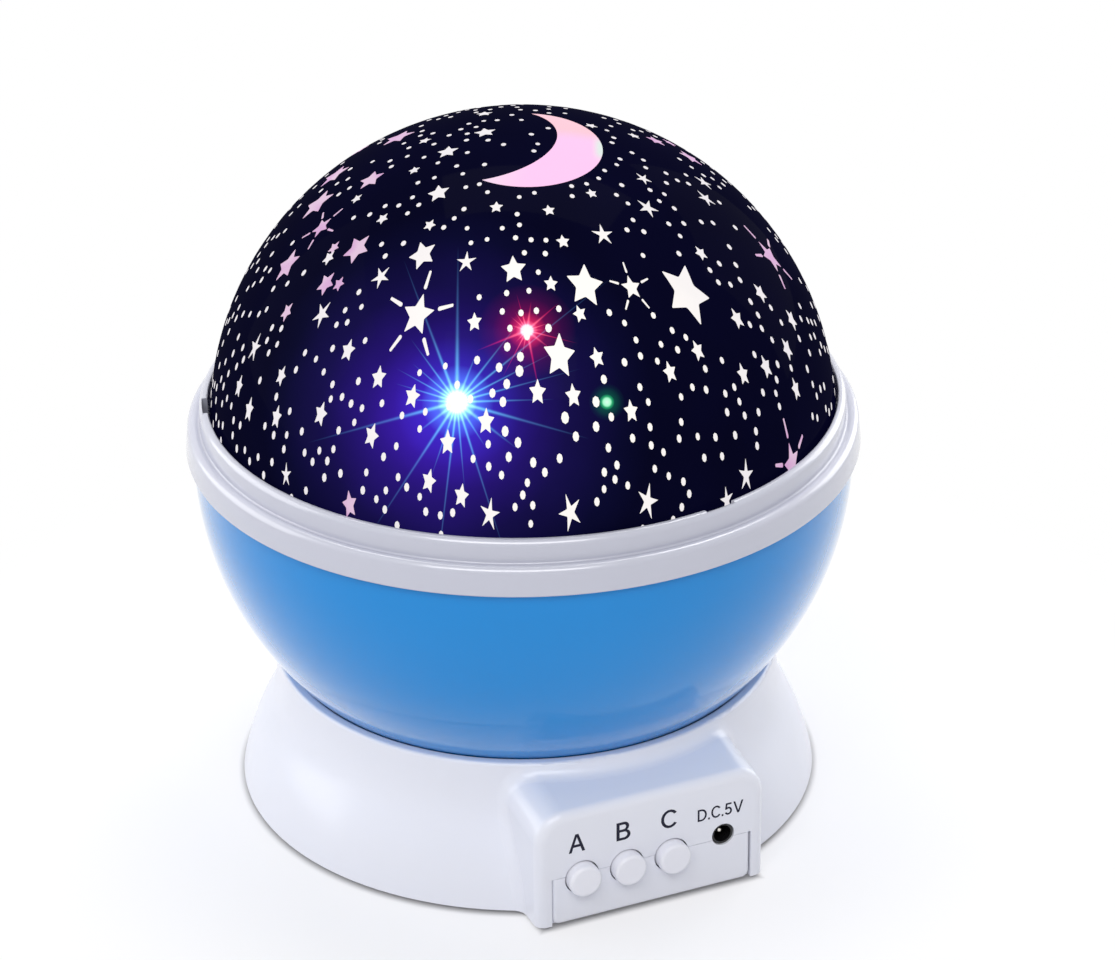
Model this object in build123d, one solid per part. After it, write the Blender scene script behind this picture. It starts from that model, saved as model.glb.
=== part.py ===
from build123d import *
from math import acos, cos, pi, radians, sin, sqrt, tan
import os

# Star night light projector. Millimetres, +Z up, the origin on the table under the globe's axis.
# The control box with its buttons faces -Y.

# ---------------------------------------------------------------- driving dimensions
# globe
BOWL_R = 64.5              # outer sphere of the bowl
BOWL_DEPTH = 48.6          # from that sphere's centre down to the bowl's flat underside
BOWL_WALL = 1.8
DOME_INSET = 3.5           # the dome's sphere is this much smaller than the bowl's
DOME_WALL = 1.5
RIM_OVERHANG = 1.4         # how far the rim ring stands out past the bowl
RIM_LIFT = 1.9             # its bottom edge above the bowl's centre
RIM_HEIGHT = 10.2
RIM_STEP_HEIGHT = 7.0      # from its bottom edge to its lower step's corner, before that is rounded
RIM_STEP = 2.3             # from that corner in to the wall of the upper step
RIM_GROOVE = 1.1           # how far the lower step falls away towards that wall

# bayonet between dome and ring
NOTCH_ANGLES = (-77.5, 42.5, 162.5)
NOTCH_WIDTH = 6.2          # degrees
LUG_WIDTH = 5.0            # degrees
LUG_THICK = 1.2
LUG_REACH = 1.1            # how far a lug stands out from the dome
TWIST = 13.0               # degrees from the locked dome to the notches
STOP_WIDTH = 1.6           # degrees, rib in the channel that a locked lug comes up against
STOP_PLAY = 0.5            # degrees left between them

# base
SEAT_RIM = 1.75            # width of the seat rim round the bowl
SEAT_RISE = 5.5            # its top above the bowl's underside
SKIRT_FLARE = 7.65         # from the skirt's neck out to its foot
SKIRT_SWELL = 4.0          # how far the bell's lower handle stands outside the neck
SKIRT_LOW_Z = 17.0         # heights of the bell curve's two inner control points
SKIRT_HIGH_Z = 13.3
BASE_WALL = 2.0
DECK_THICK = 1.8
GEAR_ROOM = 6.0            # from the deck up to the bowl's underside
FOOT_LIFT = 0.8            # the base stands this far off the table on its rubber feet

# control box
BOX_HALF_WIDTH = 23.9
BOX_REACH = 2.15           # its face stands this far out past the skirt's foot
BOX_TOP_DROP = 2.7         # its top's back edge below the seat rim
BOX_TOP_SLOPE = 1.2        # and its front edge below that
BOX_SIDE_WALL = 2.9
BOX_BLEND = 3.0            # hollow radius where it grows out of the skirt
BOX_EDGE_R = 2.0           # round edge of its face
PANEL_HALF_WIDTH = 20.75   # lower front panel, part of the bottom cover
PANEL_TOP_Z = 11.1
BUTTON_R = 3.3
BUTTON_SPACE = 2.75        # between neighbouring buttons
BUTTON_MIDDLE_X = -5.3     # the middle button
BUTTON_Z = 10.4
BUTTON_PROUD = 2.3
BUTTON_TRAVEL = 1.5
JACK_X = 15.0
JACK_Z = 12.0
JACK_PLUG_R = 1.8          # 3.5 mm barrel plug
JACK_PIN_R = 0.65          # 1.3 mm centre pin

# drive
GEAR_MODULE = 0.8
TURNTABLE_TEETH = 60
PINION_TEETH = 14
PRESSURE_ANGLE = 20.0
PINION_ANGLE = 225.0       # where the pinion stands, seen from above
SPINDLE_R = 3.0

# power
CELL_R = 5.25              # AAA cell
CELL_LENGTH = 44.5
CELL_COUNT = 4

# lamp
LED_R = 2.5                # 5 mm diode
LED_HEIGHT = 8.6
LED_CIRCLE_R = 17.0
LED_ANGLES = {"red": 73.5, "blue": 193.5, "green": 313.5}
LAMP_BOARD_RISE = 1.6      # underside of the diodes' board above the ring's shelf
BOARD_THICK = 1.6

# clearances
GAP = 0.3                  # between faces that pass or lie close
RUNNING = 0.06             # radial, shaft in its hole
BOWL_GAP = 0.3             # bowl in the base's seat
CELL_GAP = 0.2

# ---------------------------------------------------------------- worked out from them
def sphere_radius(sphere_r, centre_z, z):
    """Radius at height z of a sphere on the axis."""
    return sqrt(sphere_r ** 2 - (z - centre_z) ** 2)


COVER_TOP_Z = FOOT_LIFT + BASE_WALL
CELL_Z = COVER_TOP_Z + CELL_GAP + CELL_R
WELL_WALL = 1.2
WELL_ROOF_Z = CELL_Z + CELL_R + 0.3
WELL_TOP_Z = WELL_ROOF_Z + WELL_WALL
DECK_UNDER_Z = WELL_TOP_Z + 2 * GAP
DECK_TOP_Z = DECK_UNDER_Z + DECK_THICK
BOWL_FLOOR_Z = DECK_TOP_Z + GEAR_ROOM
BOWL_CENTRE_Z = BOWL_FLOOR_Z + BOWL_DEPTH
SEAT_Z = BOWL_FLOOR_Z + SEAT_RISE
SEAT_R = sphere_radius(BOWL_R + BOWL_GAP, BOWL_CENTRE_Z, SEAT_Z)
NECK_R = SEAT_R + SEAT_RIM
SKIRT_R = NECK_R + SKIRT_FLARE
DISH_TOP_Z = BOWL_FLOOR_Z + GAP
DISH_R = sphere_radius(BOWL_R + BOWL_GAP, BOWL_CENTRE_Z, DISH_TOP_Z)
BOX_FACE_Y = -(SKIRT_R + BOX_REACH)
BOX_TOP_BACK_Z = SEAT_Z - BOX_TOP_DROP
BOX_TOP_FRONT_Z = BOX_TOP_BACK_Z - BOX_TOP_SLOPE
DOME_R = BOWL_R - DOME_INSET
RIM_R = BOWL_R + RIM_OVERHANG
RIM_Z = BOWL_CENTRE_Z + RIM_LIFT
RIM_STEP_Z = RIM_Z + RIM_STEP_HEIGHT
RIM_TOP_Z = RIM_Z + RIM_HEIGHT
LIP_INNER_R = DOME_R + GAP
LUG_R = DOME_R + LUG_REACH
CHANNEL_R = LUG_R + GAP
SHELF_TOP_Z = RIM_Z + 3.5  # the dome's edge stands just above it
LAMP_BOARD_Z = SHELF_TOP_Z + LAMP_BOARD_RISE
DOME_CENTRE_Z = SHELF_TOP_Z
DOME_EDGE_Z = SHELF_TOP_Z + GAP
LIP_UNDER_Z = DOME_EDGE_Z + LUG_THICK + GAP
SHELF_THICK = 1.4
SHELF_INNER_R = DOME_R - 2.5
SPIGOT_TOP_Z = SHELF_TOP_Z - SHELF_THICK
SPIGOT_R = BOWL_R - 2.0
SPIGOT_INNER_R = SPIGOT_R - BOWL_WALL
BOWL_TOP_Z = RIM_Z - GAP
BOWL_INNER_R = BOWL_R - BOWL_WALL
BOWL_FLOOR_TOP_Z = BOWL_FLOOR_Z + BOWL_WALL

DISH_OUTER_R = DISH_R + BASE_WALL - 0.2
SKIRT_TOP_Z = SEAT_Z - 1.9  # the bell curve ends here and the seat rim starts
SKIRT_LEAN = (SKIRT_R - NECK_R - SKIRT_SWELL) / (SKIRT_LOW_Z - FOOT_LIFT)
COVER_R = SKIRT_R - BASE_WALL - BASE_WALL * SKIRT_LEAN - GAP

PITCH_GEAR = GEAR_MODULE * TURNTABLE_TEETH / 2
PITCH_PINION = GEAR_MODULE * PINION_TEETH / 2
CENTRE_DISTANCE = PITCH_GEAR + PITCH_PINION + 0.1
PINION_X = CENTRE_DISTANCE * cos(radians(PINION_ANGLE))
PINION_Y = CENTRE_DISTANCE * sin(radians(PINION_ANGLE))
MOTOR_SHAFT_R = 1.5
GEAR_Z = DECK_TOP_Z + 2.6  # lower face of the turntable's teeth
GEAR_FACE = 2.8
TURNTABLE_TOP_Z = BOWL_FLOOR_Z
DISC_UNDER_Z = TURNTABLE_TOP_Z - 1.8
WASHER_R = 6.0
WASHER_THICK = 0.6
HUB_Z = DECK_TOP_Z + WASHER_THICK + 0.1
SPINDLE_TOP_Z = TURNTABLE_TOP_Z + 0.2

RING_BOARD_THICK = 1.0
RING_BOARD_Z = DISC_UNDER_Z - RING_BOARD_THICK
RING_BOARD_INNER_R = 7.5
RING_BOARD_R = PITCH_GEAR - 7.0
RING_PITCH = (RING_BOARD_R - RING_BOARD_INNER_R) / 3
SLIP_RING_THICK = 0.2
SLIP_RING_R = [RING_BOARD_INNER_R + RING_PITCH * (k + 0.5) for k in range(3)]
SLIP_RING_WIDTH = 0.57 * RING_PITCH
SLIP_RING_Z = RING_BOARD_Z - SLIP_RING_THICK
BRUSH_ANGLE = 20.0

WELL_HALF_LENGTH = CELL_LENGTH / 2 + 3.6
WELL_FRONT_Y = -2.6
CELL_PITCH = 2 * CELL_R + CELL_GAP
WELL_BACK_Y = WELL_FRONT_Y + CELL_COUNT * CELL_PITCH + CELL_GAP
CELL_Y = [WELL_FRONT_Y + CELL_GAP + CELL_R + k * CELL_PITCH for k in range(CELL_COUNT)]

BUTTON_PITCH = 2 * BUTTON_R + BUTTON_SPACE
BUTTON_X = [BUTTON_MIDDLE_X + k * BUTTON_PITCH for k in (-1, 0, 1)]
BUTTON_HOLE_R = BUTTON_R + 0.25
WALL_BACK_Y = BOX_FACE_Y + BASE_WALL
FLANGE_R = BUTTON_R + 0.8
FLANGE_THICK = 0.8
FLANGE_Y = WALL_BACK_Y + GAP
SWITCH_SIZE = 7.0
SWITCH_LENGTH = 9.0
SWITCH_Y = FLANGE_Y + FLANGE_THICK + BUTTON_TRAVEL + 0.9
SWITCH_BOARD_TOP_Z = BUTTON_Z - SWITCH_SIZE / 2
SWITCH_BOARD_Z = SWITCH_BOARD_TOP_Z - BOARD_THICK
SWITCH_BOARD_FRONT_Y = SWITCH_Y - 0.5
SWITCH_BOARD_BACK_Y = SWITCH_BOARD_FRONT_Y + 17.5
SWITCH_BOARD_HALF = 19.4
BOARD_SCREW_AT = [(x, SWITCH_BOARD_BACK_Y - 3.0) for x in (-16.0, 16.0)]
BOARD_PEG_AT = [(-18.2, SWITCH_BOARD_FRONT_Y + 2.0), (9.6, SWITCH_BOARD_FRONT_Y + 2.0)]
PLUNGER = 3.0              # square section

JACK_R = 2.2
JACK_HOLE_R = JACK_R + 0.15
JACK_HALF = 3.5

GEARBOX_X = (PINION_X - 11.0, PINION_X + 9.0)
MOTOR_Y = WELL_FRONT_Y - 18.4
GEARBOX_Y = (MOTOR_Y - 8.0, MOTOR_Y + 8.0)
GEARBOX_Z = COVER_TOP_Z + 1.2
GEARBOX_LID = 1.6
GEARBOX_SCREW_AT = [(GEARBOX_X[0] - 3.0, MOTOR_Y), (PINION_X, GEARBOX_Y[1] + 3.0)]
GEARBOX_BOSS = 3.0
MOTOR_R = 5.0
MOTOR_LENGTH = 14.0
MOTOR_Z = GEARBOX_Z + MOTOR_R + 0.6

COVER_SCREW_R = SKIRT_R - 10.85
COVER_SCREW_ANGLES = (20.0, 160.0, 215.0, 325.0)
COVER_SCREW_AT = [(COVER_SCREW_R * cos(radians(a)), COVER_SCREW_R * sin(radians(a)))
                  for a in COVER_SCREW_ANGLES]
COVER_BOSS_R = 3.3
COVER_BOSS_Z = 7.0         # where the cover's columns meet the base's
FOOT_R = 4.0
FOOT_CIRCLE_R = COVER_R - FOOT_R - 0.25
FOOT_AT = [(FOOT_CIRCLE_R * cos(radians(a)), FOOT_CIRCLE_R * sin(radians(a))) for a in (225, 315, 131, 49)]
DOOR_THICK = BASE_WALL - 0.5
DOOR_HALF = WELL_HALF_LENGTH - 0.6
DOOR_Y = (WELL_FRONT_Y + 0.6, WELL_BACK_Y - 0.6)
DOOR_SCREW_AT = [(x, WELL_FRONT_Y - 3.2) for x in (-14.0, 14.0)]

BOSS_CIRCLE_R = SPIGOT_INNER_R - 5.3   # posts in the bowl that carry the lamp deck
BOSS_ANGLES = (30.0, 150.0, 270.0)
BOSS_R = 3.0
LAMP_DECK_Z = SPIGOT_TOP_Z - 2.0
LAMP_DECK_THICK = 1.6
LAMP_DECK_R = SPIGOT_INNER_R - 0.5
PEDESTAL_R = 26.0
LAMP_BOARD_R = 22.0
LAMP_SCREW_R = 18.5
LAMP_SCREW_ANGLES = (133.5, 253.5)     # midway between the coloured diodes
LEAD_HOLE_Y = 9.0          # the lamp's leads come up through the deck and the board here
TURNTABLE_SCREW_R = PITCH_GEAR - 4.0
TURNTABLE_SCREW_ANGLES = (60.0, 180.0, 300.0)


# ---------------------------------------------------------------- shape helpers
UP = (Align.CENTER, Align.CENTER, Align.MIN)


def at(radius, angle):
    """A point on a circle round the globe's axis."""
    return radius * cos(radians(angle)), radius * sin(radians(angle))


def rod(x, y, z_low, z_high, r):
    return Pos(x, y, z_low) * Cylinder(r, z_high - z_low, align=UP)


def rod_y(x, z, y_low, y_high, r):
    return Pos(x, y_low, z) * Rot(-90, 0, 0) * Cylinder(r, y_high - y_low, align=UP)


def rod_x(y, z, x_low, x_high, r):
    return Pos(x_low, y, z) * Rot(0, 90, 0) * Cylinder(r, x_high - x_low, align=UP)


def slab(x_span, y_span, z_span):
    spans = (x_span, y_span, z_span)
    size = [span[1] - span[0] for span in spans]
    middle = [(span[1] + span[0]) / 2 for span in spans]
    return Pos(*middle) * Box(*size)


def spun(*edges):
    """A solid of revolution round the globe's axis, from edges given as radius and height."""
    return revolve(Plane.XZ * make_face(edges), Axis.Z)


def spun_outline(points, radii):
    """The same, from a closed polygon whose corners are rounded by the given radii."""
    return spun(*FilletPolyline(*points, radius=radii, close=True).edges())


def tube(r_inner, r_outer, z_low, z_high):
    return rod(0, 0, z_low, z_high, r_outer) - rod(0, 0, z_low - 1, z_high + 1, r_inner)


def screw(x, y, z_seat, shank, shank_r=1.1, head_r=2.2, head=1.3, up=True):
    """Pan-head screw: the head lies on z_seat and the shank goes the other way, with a cross slot."""
    side = 1 if up else -1
    body = Cylinder(shank_r, shank, align=(Align.CENTER, Align.CENTER, Align.MAX))
    cap = Cylinder(head_r, head, align=UP)
    cap = fillet(cap.edges().filter_by(GeomType.CIRCLE).sort_by(Axis.Z)[-1], head * 0.45)
    slot = Pos(0, 0, head) * (Box(head_r * 1.2, 0.5, head * 0.9) + Box(0.5, head_r * 1.2, head * 0.9))
    one = body + cap - slot
    return Pos(x, y, z_seat) * (one if side > 0 else Rot(180, 0, 0) * one)


def sector(r_inner, r_outer, z_low, z_high, angle, width):
    """Part of a ring: width degrees wide about the given angle."""
    reach = r_outer * 1.2
    wedge = make_face(Polyline((0, 0), (reach, -reach * tan(radians(width / 2))),
                               (reach, reach * tan(radians(width / 2))), close=True))
    wedge = Pos(0, 0, z_low) * Rot(0, 0, angle) * extrude(wedge, z_high - z_low)
    return tube(r_inner, r_outer, z_low, z_high) & wedge


# ---------------------------------------------------------------- globe
def make_dome():
    """Clear hemisphere with three lugs at its edge that lock under the rim ring's lip."""
    inner_r = DOME_R - DOME_WALL
    edge_out = sphere_radius(DOME_R, DOME_CENTRE_Z, DOME_EDGE_Z)
    edge_in = sphere_radius(inner_r, DOME_CENTRE_Z, DOME_EDGE_Z)
    mid = cos(radians(45))
    dome = spun(Line((edge_in, DOME_EDGE_Z), (edge_out, DOME_EDGE_Z)),
                ThreePointArc((edge_out, DOME_EDGE_Z), (DOME_R * mid, DOME_CENTRE_Z + DOME_R * mid),
                              (0, DOME_CENTRE_Z + DOME_R)),
                Line((0, DOME_CENTRE_Z + DOME_R), (0, DOME_CENTRE_Z + inner_r)),
                ThreePointArc((0, DOME_CENTRE_Z + inner_r),
                              (inner_r * mid, DOME_CENTRE_Z + inner_r * mid), (edge_in, DOME_EDGE_Z)))
    for angle in NOTCH_ANGLES:
        dome += sector(DOME_R - DOME_WALL / 2, LUG_R, DOME_EDGE_Z, DOME_EDGE_Z + LUG_THICK,
                       angle + TWIST, LUG_WIDTH)
    return dome


def make_rim_ring():
    """Ring of two rounded steps: its skirt hangs over the bowl, its shelf carries the dome, and its lip
    has three notches that let the dome's lugs in."""
    step_r = RIM_R - 0.6
    lip_r = step_r - RIM_STEP
    outline = [(RIM_R, RIM_Z), (step_r, RIM_STEP_Z), (lip_r, RIM_STEP_Z - RIM_GROOVE), (lip_r - 0.1, RIM_TOP_Z),
               (LIP_INNER_R, RIM_TOP_Z), (LIP_INNER_R, LIP_UNDER_Z), (CHANNEL_R, LIP_UNDER_Z),
               (CHANNEL_R, SHELF_TOP_Z), (SHELF_INNER_R, SHELF_TOP_Z), (SHELF_INNER_R, SPIGOT_TOP_Z),
               (SPIGOT_R + GAP, SPIGOT_TOP_Z), (SPIGOT_R + GAP, RIM_Z)]
    radii = [0.45, 1.2, 0.5, 1.1, 0.4, 0, 0, 0, 0.3, 0.3, 0, 0]
    ring = spun_outline(outline, radii)
    stop_turn = TWIST + (LUG_WIDTH + STOP_WIDTH) / 2 + STOP_PLAY
    for angle in NOTCH_ANGLES:
        ring -= sector(LIP_INNER_R - 1, CHANNEL_R, LIP_UNDER_Z - 0.2, RIM_TOP_Z + 1, angle, NOTCH_WIDTH)
        ring += sector(LIP_INNER_R + GAP, CHANNEL_R + 0.5, SHELF_TOP_Z - 0.3, LIP_UNDER_Z + 0.3,
                       angle + stop_turn, STOP_WIDTH)
    return ring


def make_bowl():
    """Lower half of the globe: a sphere with a flat floor, a spigot for the ring, and three posts."""
    floor_out = sphere_radius(BOWL_R, BOWL_CENTRE_Z, BOWL_FLOOR_Z)
    floor_in = sphere_radius(BOWL_INNER_R, BOWL_CENTRE_Z, BOWL_FLOOR_TOP_Z)
    blend_z = BOWL_CENTRE_Z - 4.0
    blend_r = sphere_radius(BOWL_INNER_R, BOWL_CENTRE_Z, blend_z)
    mid_z = BOWL_CENTRE_Z - 25.0
    bowl = spun(Line((0, BOWL_FLOOR_Z), (floor_out, BOWL_FLOOR_Z)),
                ThreePointArc((floor_out, BOWL_FLOOR_Z),
                              (sphere_radius(BOWL_R, BOWL_CENTRE_Z, mid_z), mid_z),
                              (BOWL_R, BOWL_CENTRE_Z)),
                Polyline((BOWL_R, BOWL_CENTRE_Z), (BOWL_R, BOWL_TOP_Z), (SPIGOT_R, BOWL_TOP_Z),
                         (SPIGOT_R, SPIGOT_TOP_Z), (SPIGOT_INNER_R, SPIGOT_TOP_Z),
                         (SPIGOT_INNER_R, BOWL_CENTRE_Z - 0.5), (blend_r, blend_z)),
                ThreePointArc((blend_r, blend_z),
                              (sphere_radius(BOWL_INNER_R, BOWL_CENTRE_Z, mid_z), mid_z),
                              (floor_in, BOWL_FLOOR_TOP_Z)),
                Line((floor_in, BOWL_FLOOR_TOP_Z), (0, BOWL_FLOOR_TOP_Z)),
                Line((0, BOWL_FLOOR_TOP_Z), (0, BOWL_FLOOR_Z)))
    room = Pos(0, 0, BOWL_CENTRE_Z) * Sphere(BOWL_INNER_R + BOWL_WALL / 2)
    for angle in BOSS_ANGLES:
        x, y = at(BOSS_CIRCLE_R, angle)
        post = rod(x, y, BOWL_FLOOR_TOP_Z + 5, LAMP_DECK_Z, BOSS_R)
        rib = Rot(0, 0, angle) * slab((BOSS_CIRCLE_R, BOWL_R), (-0.8, 0.8),
                                      (BOWL_FLOOR_TOP_Z + 5, blend_z - 2))
        bowl += (post + rib) & room
        bowl -= rod(x, y, LAMP_DECK_Z - 12, LAMP_DECK_Z + 1, 1.2)
    bowl -= rod(0, 0, BOWL_FLOOR_Z - 1, BOWL_FLOOR_TOP_Z + 1, WASHER_R + 2)
    for angle in TURNTABLE_SCREW_ANGLES:
        bowl -= rod(*at(TURNTABLE_SCREW_R, angle), BOWL_FLOOR_Z - 1, BOWL_FLOOR_TOP_Z + 1, 1.3)
    return bowl


def make_lamp_deck():
    """White reflector dish under the dome, with a raised pedestal for the diodes' board."""
    low = LAMP_DECK_Z
    top = LAMP_BOARD_Z
    t = LAMP_DECK_THICK
    outline = [(0, top - t), (PEDESTAL_R - 0.3, top - t), (50, low), (LAMP_DECK_R, low),
               (LAMP_DECK_R, low + t), (50.3, low + t), (PEDESTAL_R, top), (0, top)]
    deck = spun_outline(outline, [0, 2, 4, 0.3, 0.3, 3, 1, 0])
    for angle in BOSS_ANGLES:
        deck -= rod(*at(BOSS_CIRCLE_R, angle), low - 1, low + t + 1, 1.3)
    for angle in LAMP_SCREW_ANGLES:
        deck -= rod(*at(LAMP_SCREW_R, angle), top - t - 1, top + 1, 1.15)
    return deck - rod(0, LEAD_HOLE_Y, top - t - 1, top + 1, 2.0)


def make_lamp_board():
    """Round board that carries the four diodes."""
    board = rod(0, 0, LAMP_BOARD_Z, LAMP_BOARD_Z + BOARD_THICK, LAMP_BOARD_R)
    for angle in LAMP_SCREW_ANGLES:
        board -= rod(*at(LAMP_SCREW_R, angle), LAMP_BOARD_Z - 1, LAMP_BOARD_Z + BOARD_THICK + 1, 1.25)
    return board - rod(0, LEAD_HOLE_Y, LAMP_BOARD_Z - 1, LAMP_BOARD_Z + BOARD_THICK + 1, 1.5)


def make_diode(x, y):
    """5 mm diode: flange, round lens body and domed tip."""
    z = LAMP_BOARD_Z + BOARD_THICK
    shoulder = z + LED_HEIGHT - LED_R
    lens = rod(x, y, z + 1.0, shoulder, LED_R) + Pos(x, y, shoulder) * Sphere(LED_R)
    return lens + rod(x, y, z, z + 1.0, LED_R + 0.4)


# ---------------------------------------------------------------- drive
def involute_point(base_r, roll):
    """Point of an involute after the string has unrolled by the given angle."""
    return (base_r * (cos(roll) + roll * sin(roll)), base_r * (sin(roll) - roll * cos(roll)))


def turned(point, angle):
    x, y = point
    return (x * cos(angle) - y * sin(angle), x * sin(angle) + y * cos(angle))


def gear_face(teeth, backlash=0.1):
    """Spur gear outline with involute flanks; one tooth points along +X."""
    pitch_r = GEAR_MODULE * teeth / 2
    base_r = pitch_r * cos(radians(PRESSURE_ANGLE))
    tip_r = pitch_r + 0.9 * GEAR_MODULE
    root_r = pitch_r - 1.2 * GEAR_MODULE
    start_r = max(base_r, root_r)

    def roll_to(radius):
        return sqrt(max((radius / base_r) ** 2 - 1, 0))

    roll_pitch = roll_to(pitch_r)
    half = pi / (2 * teeth) - backlash / (2 * pitch_r) + (roll_pitch - acos(base_r / pitch_r))
    rolls = [roll_to(start_r) + (roll_to(tip_r) - roll_to(start_r)) * k / 3 for k in range(4)]
    upper = [turned((x, -y), half) for x, y in (involute_point(base_r, roll) for roll in rolls)]
    lower = [(x, -y) for x, y in upper]
    inner = root_r - 0.4
    foot_up = (inner * cos(half), inner * sin(half))
    foot_low = (foot_up[0], -foot_up[1])
    tooth = make_face([Spline(*upper), Line(upper[-1], lower[-1]), Spline(*lower),
                       Line(lower[0], foot_low), Line(foot_low, foot_up), Line(foot_up, upper[0])])
    return Circle(root_r) + [Rot(0, 0, 360 / teeth * k) * tooth for k in range(teeth)]


def make_turntable():
    """Geared disc screwed under the bowl; its hub turns on the base's spindle."""
    rim = Pos(0, 0, GEAR_Z) * extrude(gear_face(TURNTABLE_TEETH), GEAR_FACE)
    rim -= rod(0, 0, GEAR_Z - 1, GEAR_Z + GEAR_FACE + 1, PITCH_GEAR - 2.4)
    disc = rod(0, 0, DISC_UNDER_Z, TURNTABLE_TOP_Z, PITCH_GEAR - 1.4)
    hub = rod(0, 0, HUB_Z, TURNTABLE_TOP_Z, WASHER_R - 0.5)
    table = rim + disc + hub
    for angle in TURNTABLE_SCREW_ANGLES:
        table += rod(*at(TURNTABLE_SCREW_R, angle), GEAR_Z, TURNTABLE_TOP_Z, 2.4)
        table -= rod(*at(TURNTABLE_SCREW_R, angle), GEAR_Z + 0.4, TURNTABLE_TOP_Z + 1, 1.15)
    return table - rod(0, 0, HUB_Z - 1, TURNTABLE_TOP_Z + 1, SPINDLE_R + RUNNING)


def make_pinion():
    """Motor pinion, turned so that it meshes with the turntable at rest."""
    tooth_step = 360 / TURNTABLE_TEETH
    phase = (PINION_ANGLE / tooth_step) % 1      # 0 where a turntable tooth points at the pinion
    turn = PINION_ANGLE + 180 + (0.5 + phase) * 360 / PINION_TEETH
    face = Rot(0, 0, turn) * gear_face(PINION_TEETH)
    pinion = Pos(PINION_X, PINION_Y, GEAR_Z - 0.2) * extrude(face, GEAR_FACE + 0.4)
    pinion += rod(PINION_X, PINION_Y, GEAR_Z - 1.2, GEAR_Z, 3.2)
    return pinion - rod(PINION_X, PINION_Y, GEAR_Z - 3, GEAR_Z + GEAR_FACE + 1, MOTOR_SHAFT_R)


def make_motor_shaft():
    return rod(PINION_X, PINION_Y, GEARBOX_Z + GEARBOX_LID + 2, GEAR_Z + GEAR_FACE, MOTOR_SHAFT_R)


def make_gearbox():
    """Gearbox housing with a round pilot boss, two ears and room for the output shaft."""
    box = slab(GEARBOX_X, GEARBOX_Y, (GEARBOX_Z + GEARBOX_LID, DECK_UNDER_Z))
    box = fillet(box.edges().filter_by(Axis.Z), 2.5)
    box += rod(PINION_X, PINION_Y, DECK_UNDER_Z - 1, DECK_TOP_Z, 2.6)
    ear_top = DECK_UNDER_Z - GEARBOX_BOSS
    x, y = GEARBOX_SCREW_AT[0]
    ears = rod(x, y, ear_top - 2, ear_top, 2.6) + slab((x, x + 4), (y - 2.6, y + 2.6), (ear_top - 2, ear_top))
    x, y = GEARBOX_SCREW_AT[1]
    ears += rod(x, y, ear_top - 2, ear_top, 2.6) + slab((x - 2.6, x + 2.6), (y - 4, y), (ear_top - 2, ear_top))
    box += ears
    for x, y in GEARBOX_SCREW_AT:
        box -= rod(x, y, ear_top - 3, ear_top + 1, 1.2)
    return box - rod(PINION_X, PINION_Y, GEARBOX_Z + GEARBOX_LID + 1.5, DECK_TOP_Z + 1, MOTOR_SHAFT_R + RUNNING)


def make_gearbox_lid():
    lid = slab(GEARBOX_X, GEARBOX_Y, (GEARBOX_Z, GEARBOX_Z + GEARBOX_LID))
    return fillet(lid.edges().filter_by(Axis.Z), 2.5)


def make_motor():
    """Small round motor with two flats, lying beside the gearbox."""
    x = GEARBOX_X[1]
    can = rod_x(MOTOR_Y, MOTOR_Z, x, x + MOTOR_LENGTH, MOTOR_R)
    return can & slab((x, x + MOTOR_LENGTH), (MOTOR_Y - 6, MOTOR_Y + 6), (MOTOR_Z - 4, MOTOR_Z + 4))


def make_motor_cap():
    """Plastic end cap of the motor, with its two terminals."""
    x = GEARBOX_X[1] + MOTOR_LENGTH
    cap = rod_x(MOTOR_Y, MOTOR_Z, x, x + 1.6, MOTOR_R - 0.4)
    cap = cap & slab((x, x + 2), (MOTOR_Y - 6, MOTOR_Y + 6), (MOTOR_Z - 3.6, MOTOR_Z + 3.6))
    for side in (-1, 1):
        y = MOTOR_Y + side * 2.6
        cap += slab((x + 1.6, x + 3.6), (y - 0.6, y + 0.6), (MOTOR_Z - 0.2, MOTOR_Z + 0.2))
    return cap


def make_slip_rings():
    rings = [tube(r - SLIP_RING_WIDTH / 2, r + SLIP_RING_WIDTH / 2, SLIP_RING_Z, RING_BOARD_Z)
             for r in SLIP_RING_R]
    return Compound(children=rings)


def make_brush_holder():
    """Block on the deck that clamps the three brushes."""
    block = slab((SLIP_RING_R[0] - 1.6, SLIP_RING_R[-1] + 1.6), (-5.5, -2.5), (DECK_TOP_Z, DECK_TOP_Z + 1.4))
    return Rot(0, 0, BRUSH_ANGLE) * block


def make_brushes():
    """Three sprung strips that rise from their holder to the slip rings."""
    top = SLIP_RING_Z - 0.05
    base = DECK_TOP_Z + 1.4
    strips = []
    for r in SLIP_RING_R:
        side = Polyline((-5.2, base), (-2.6, base), (1.0, top - 0.2), (2.4, top - 0.2), (2.4, top),
                        (0.9, top), (-2.7, base + 0.2), (-5.2, base + 0.2), close=True)
        strip = extrude(Plane.YZ * make_face(side), 0.5, both=True)
        strips.append(Rot(0, 0, BRUSH_ANGLE) * Pos(r, 0, 0) * strip)
    return Compound(children=strips)


# ---------------------------------------------------------------- base
def skirt_edge(inset, z_top):
    """The bell curve of the skirt, moved inwards by inset."""
    return Bezier((SKIRT_R - inset, FOOT_LIFT), (NECK_R + SKIRT_SWELL - inset, SKIRT_LOW_Z),
                  (NECK_R - inset, SKIRT_HIGH_Z), (NECK_R - inset, z_top))


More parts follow.
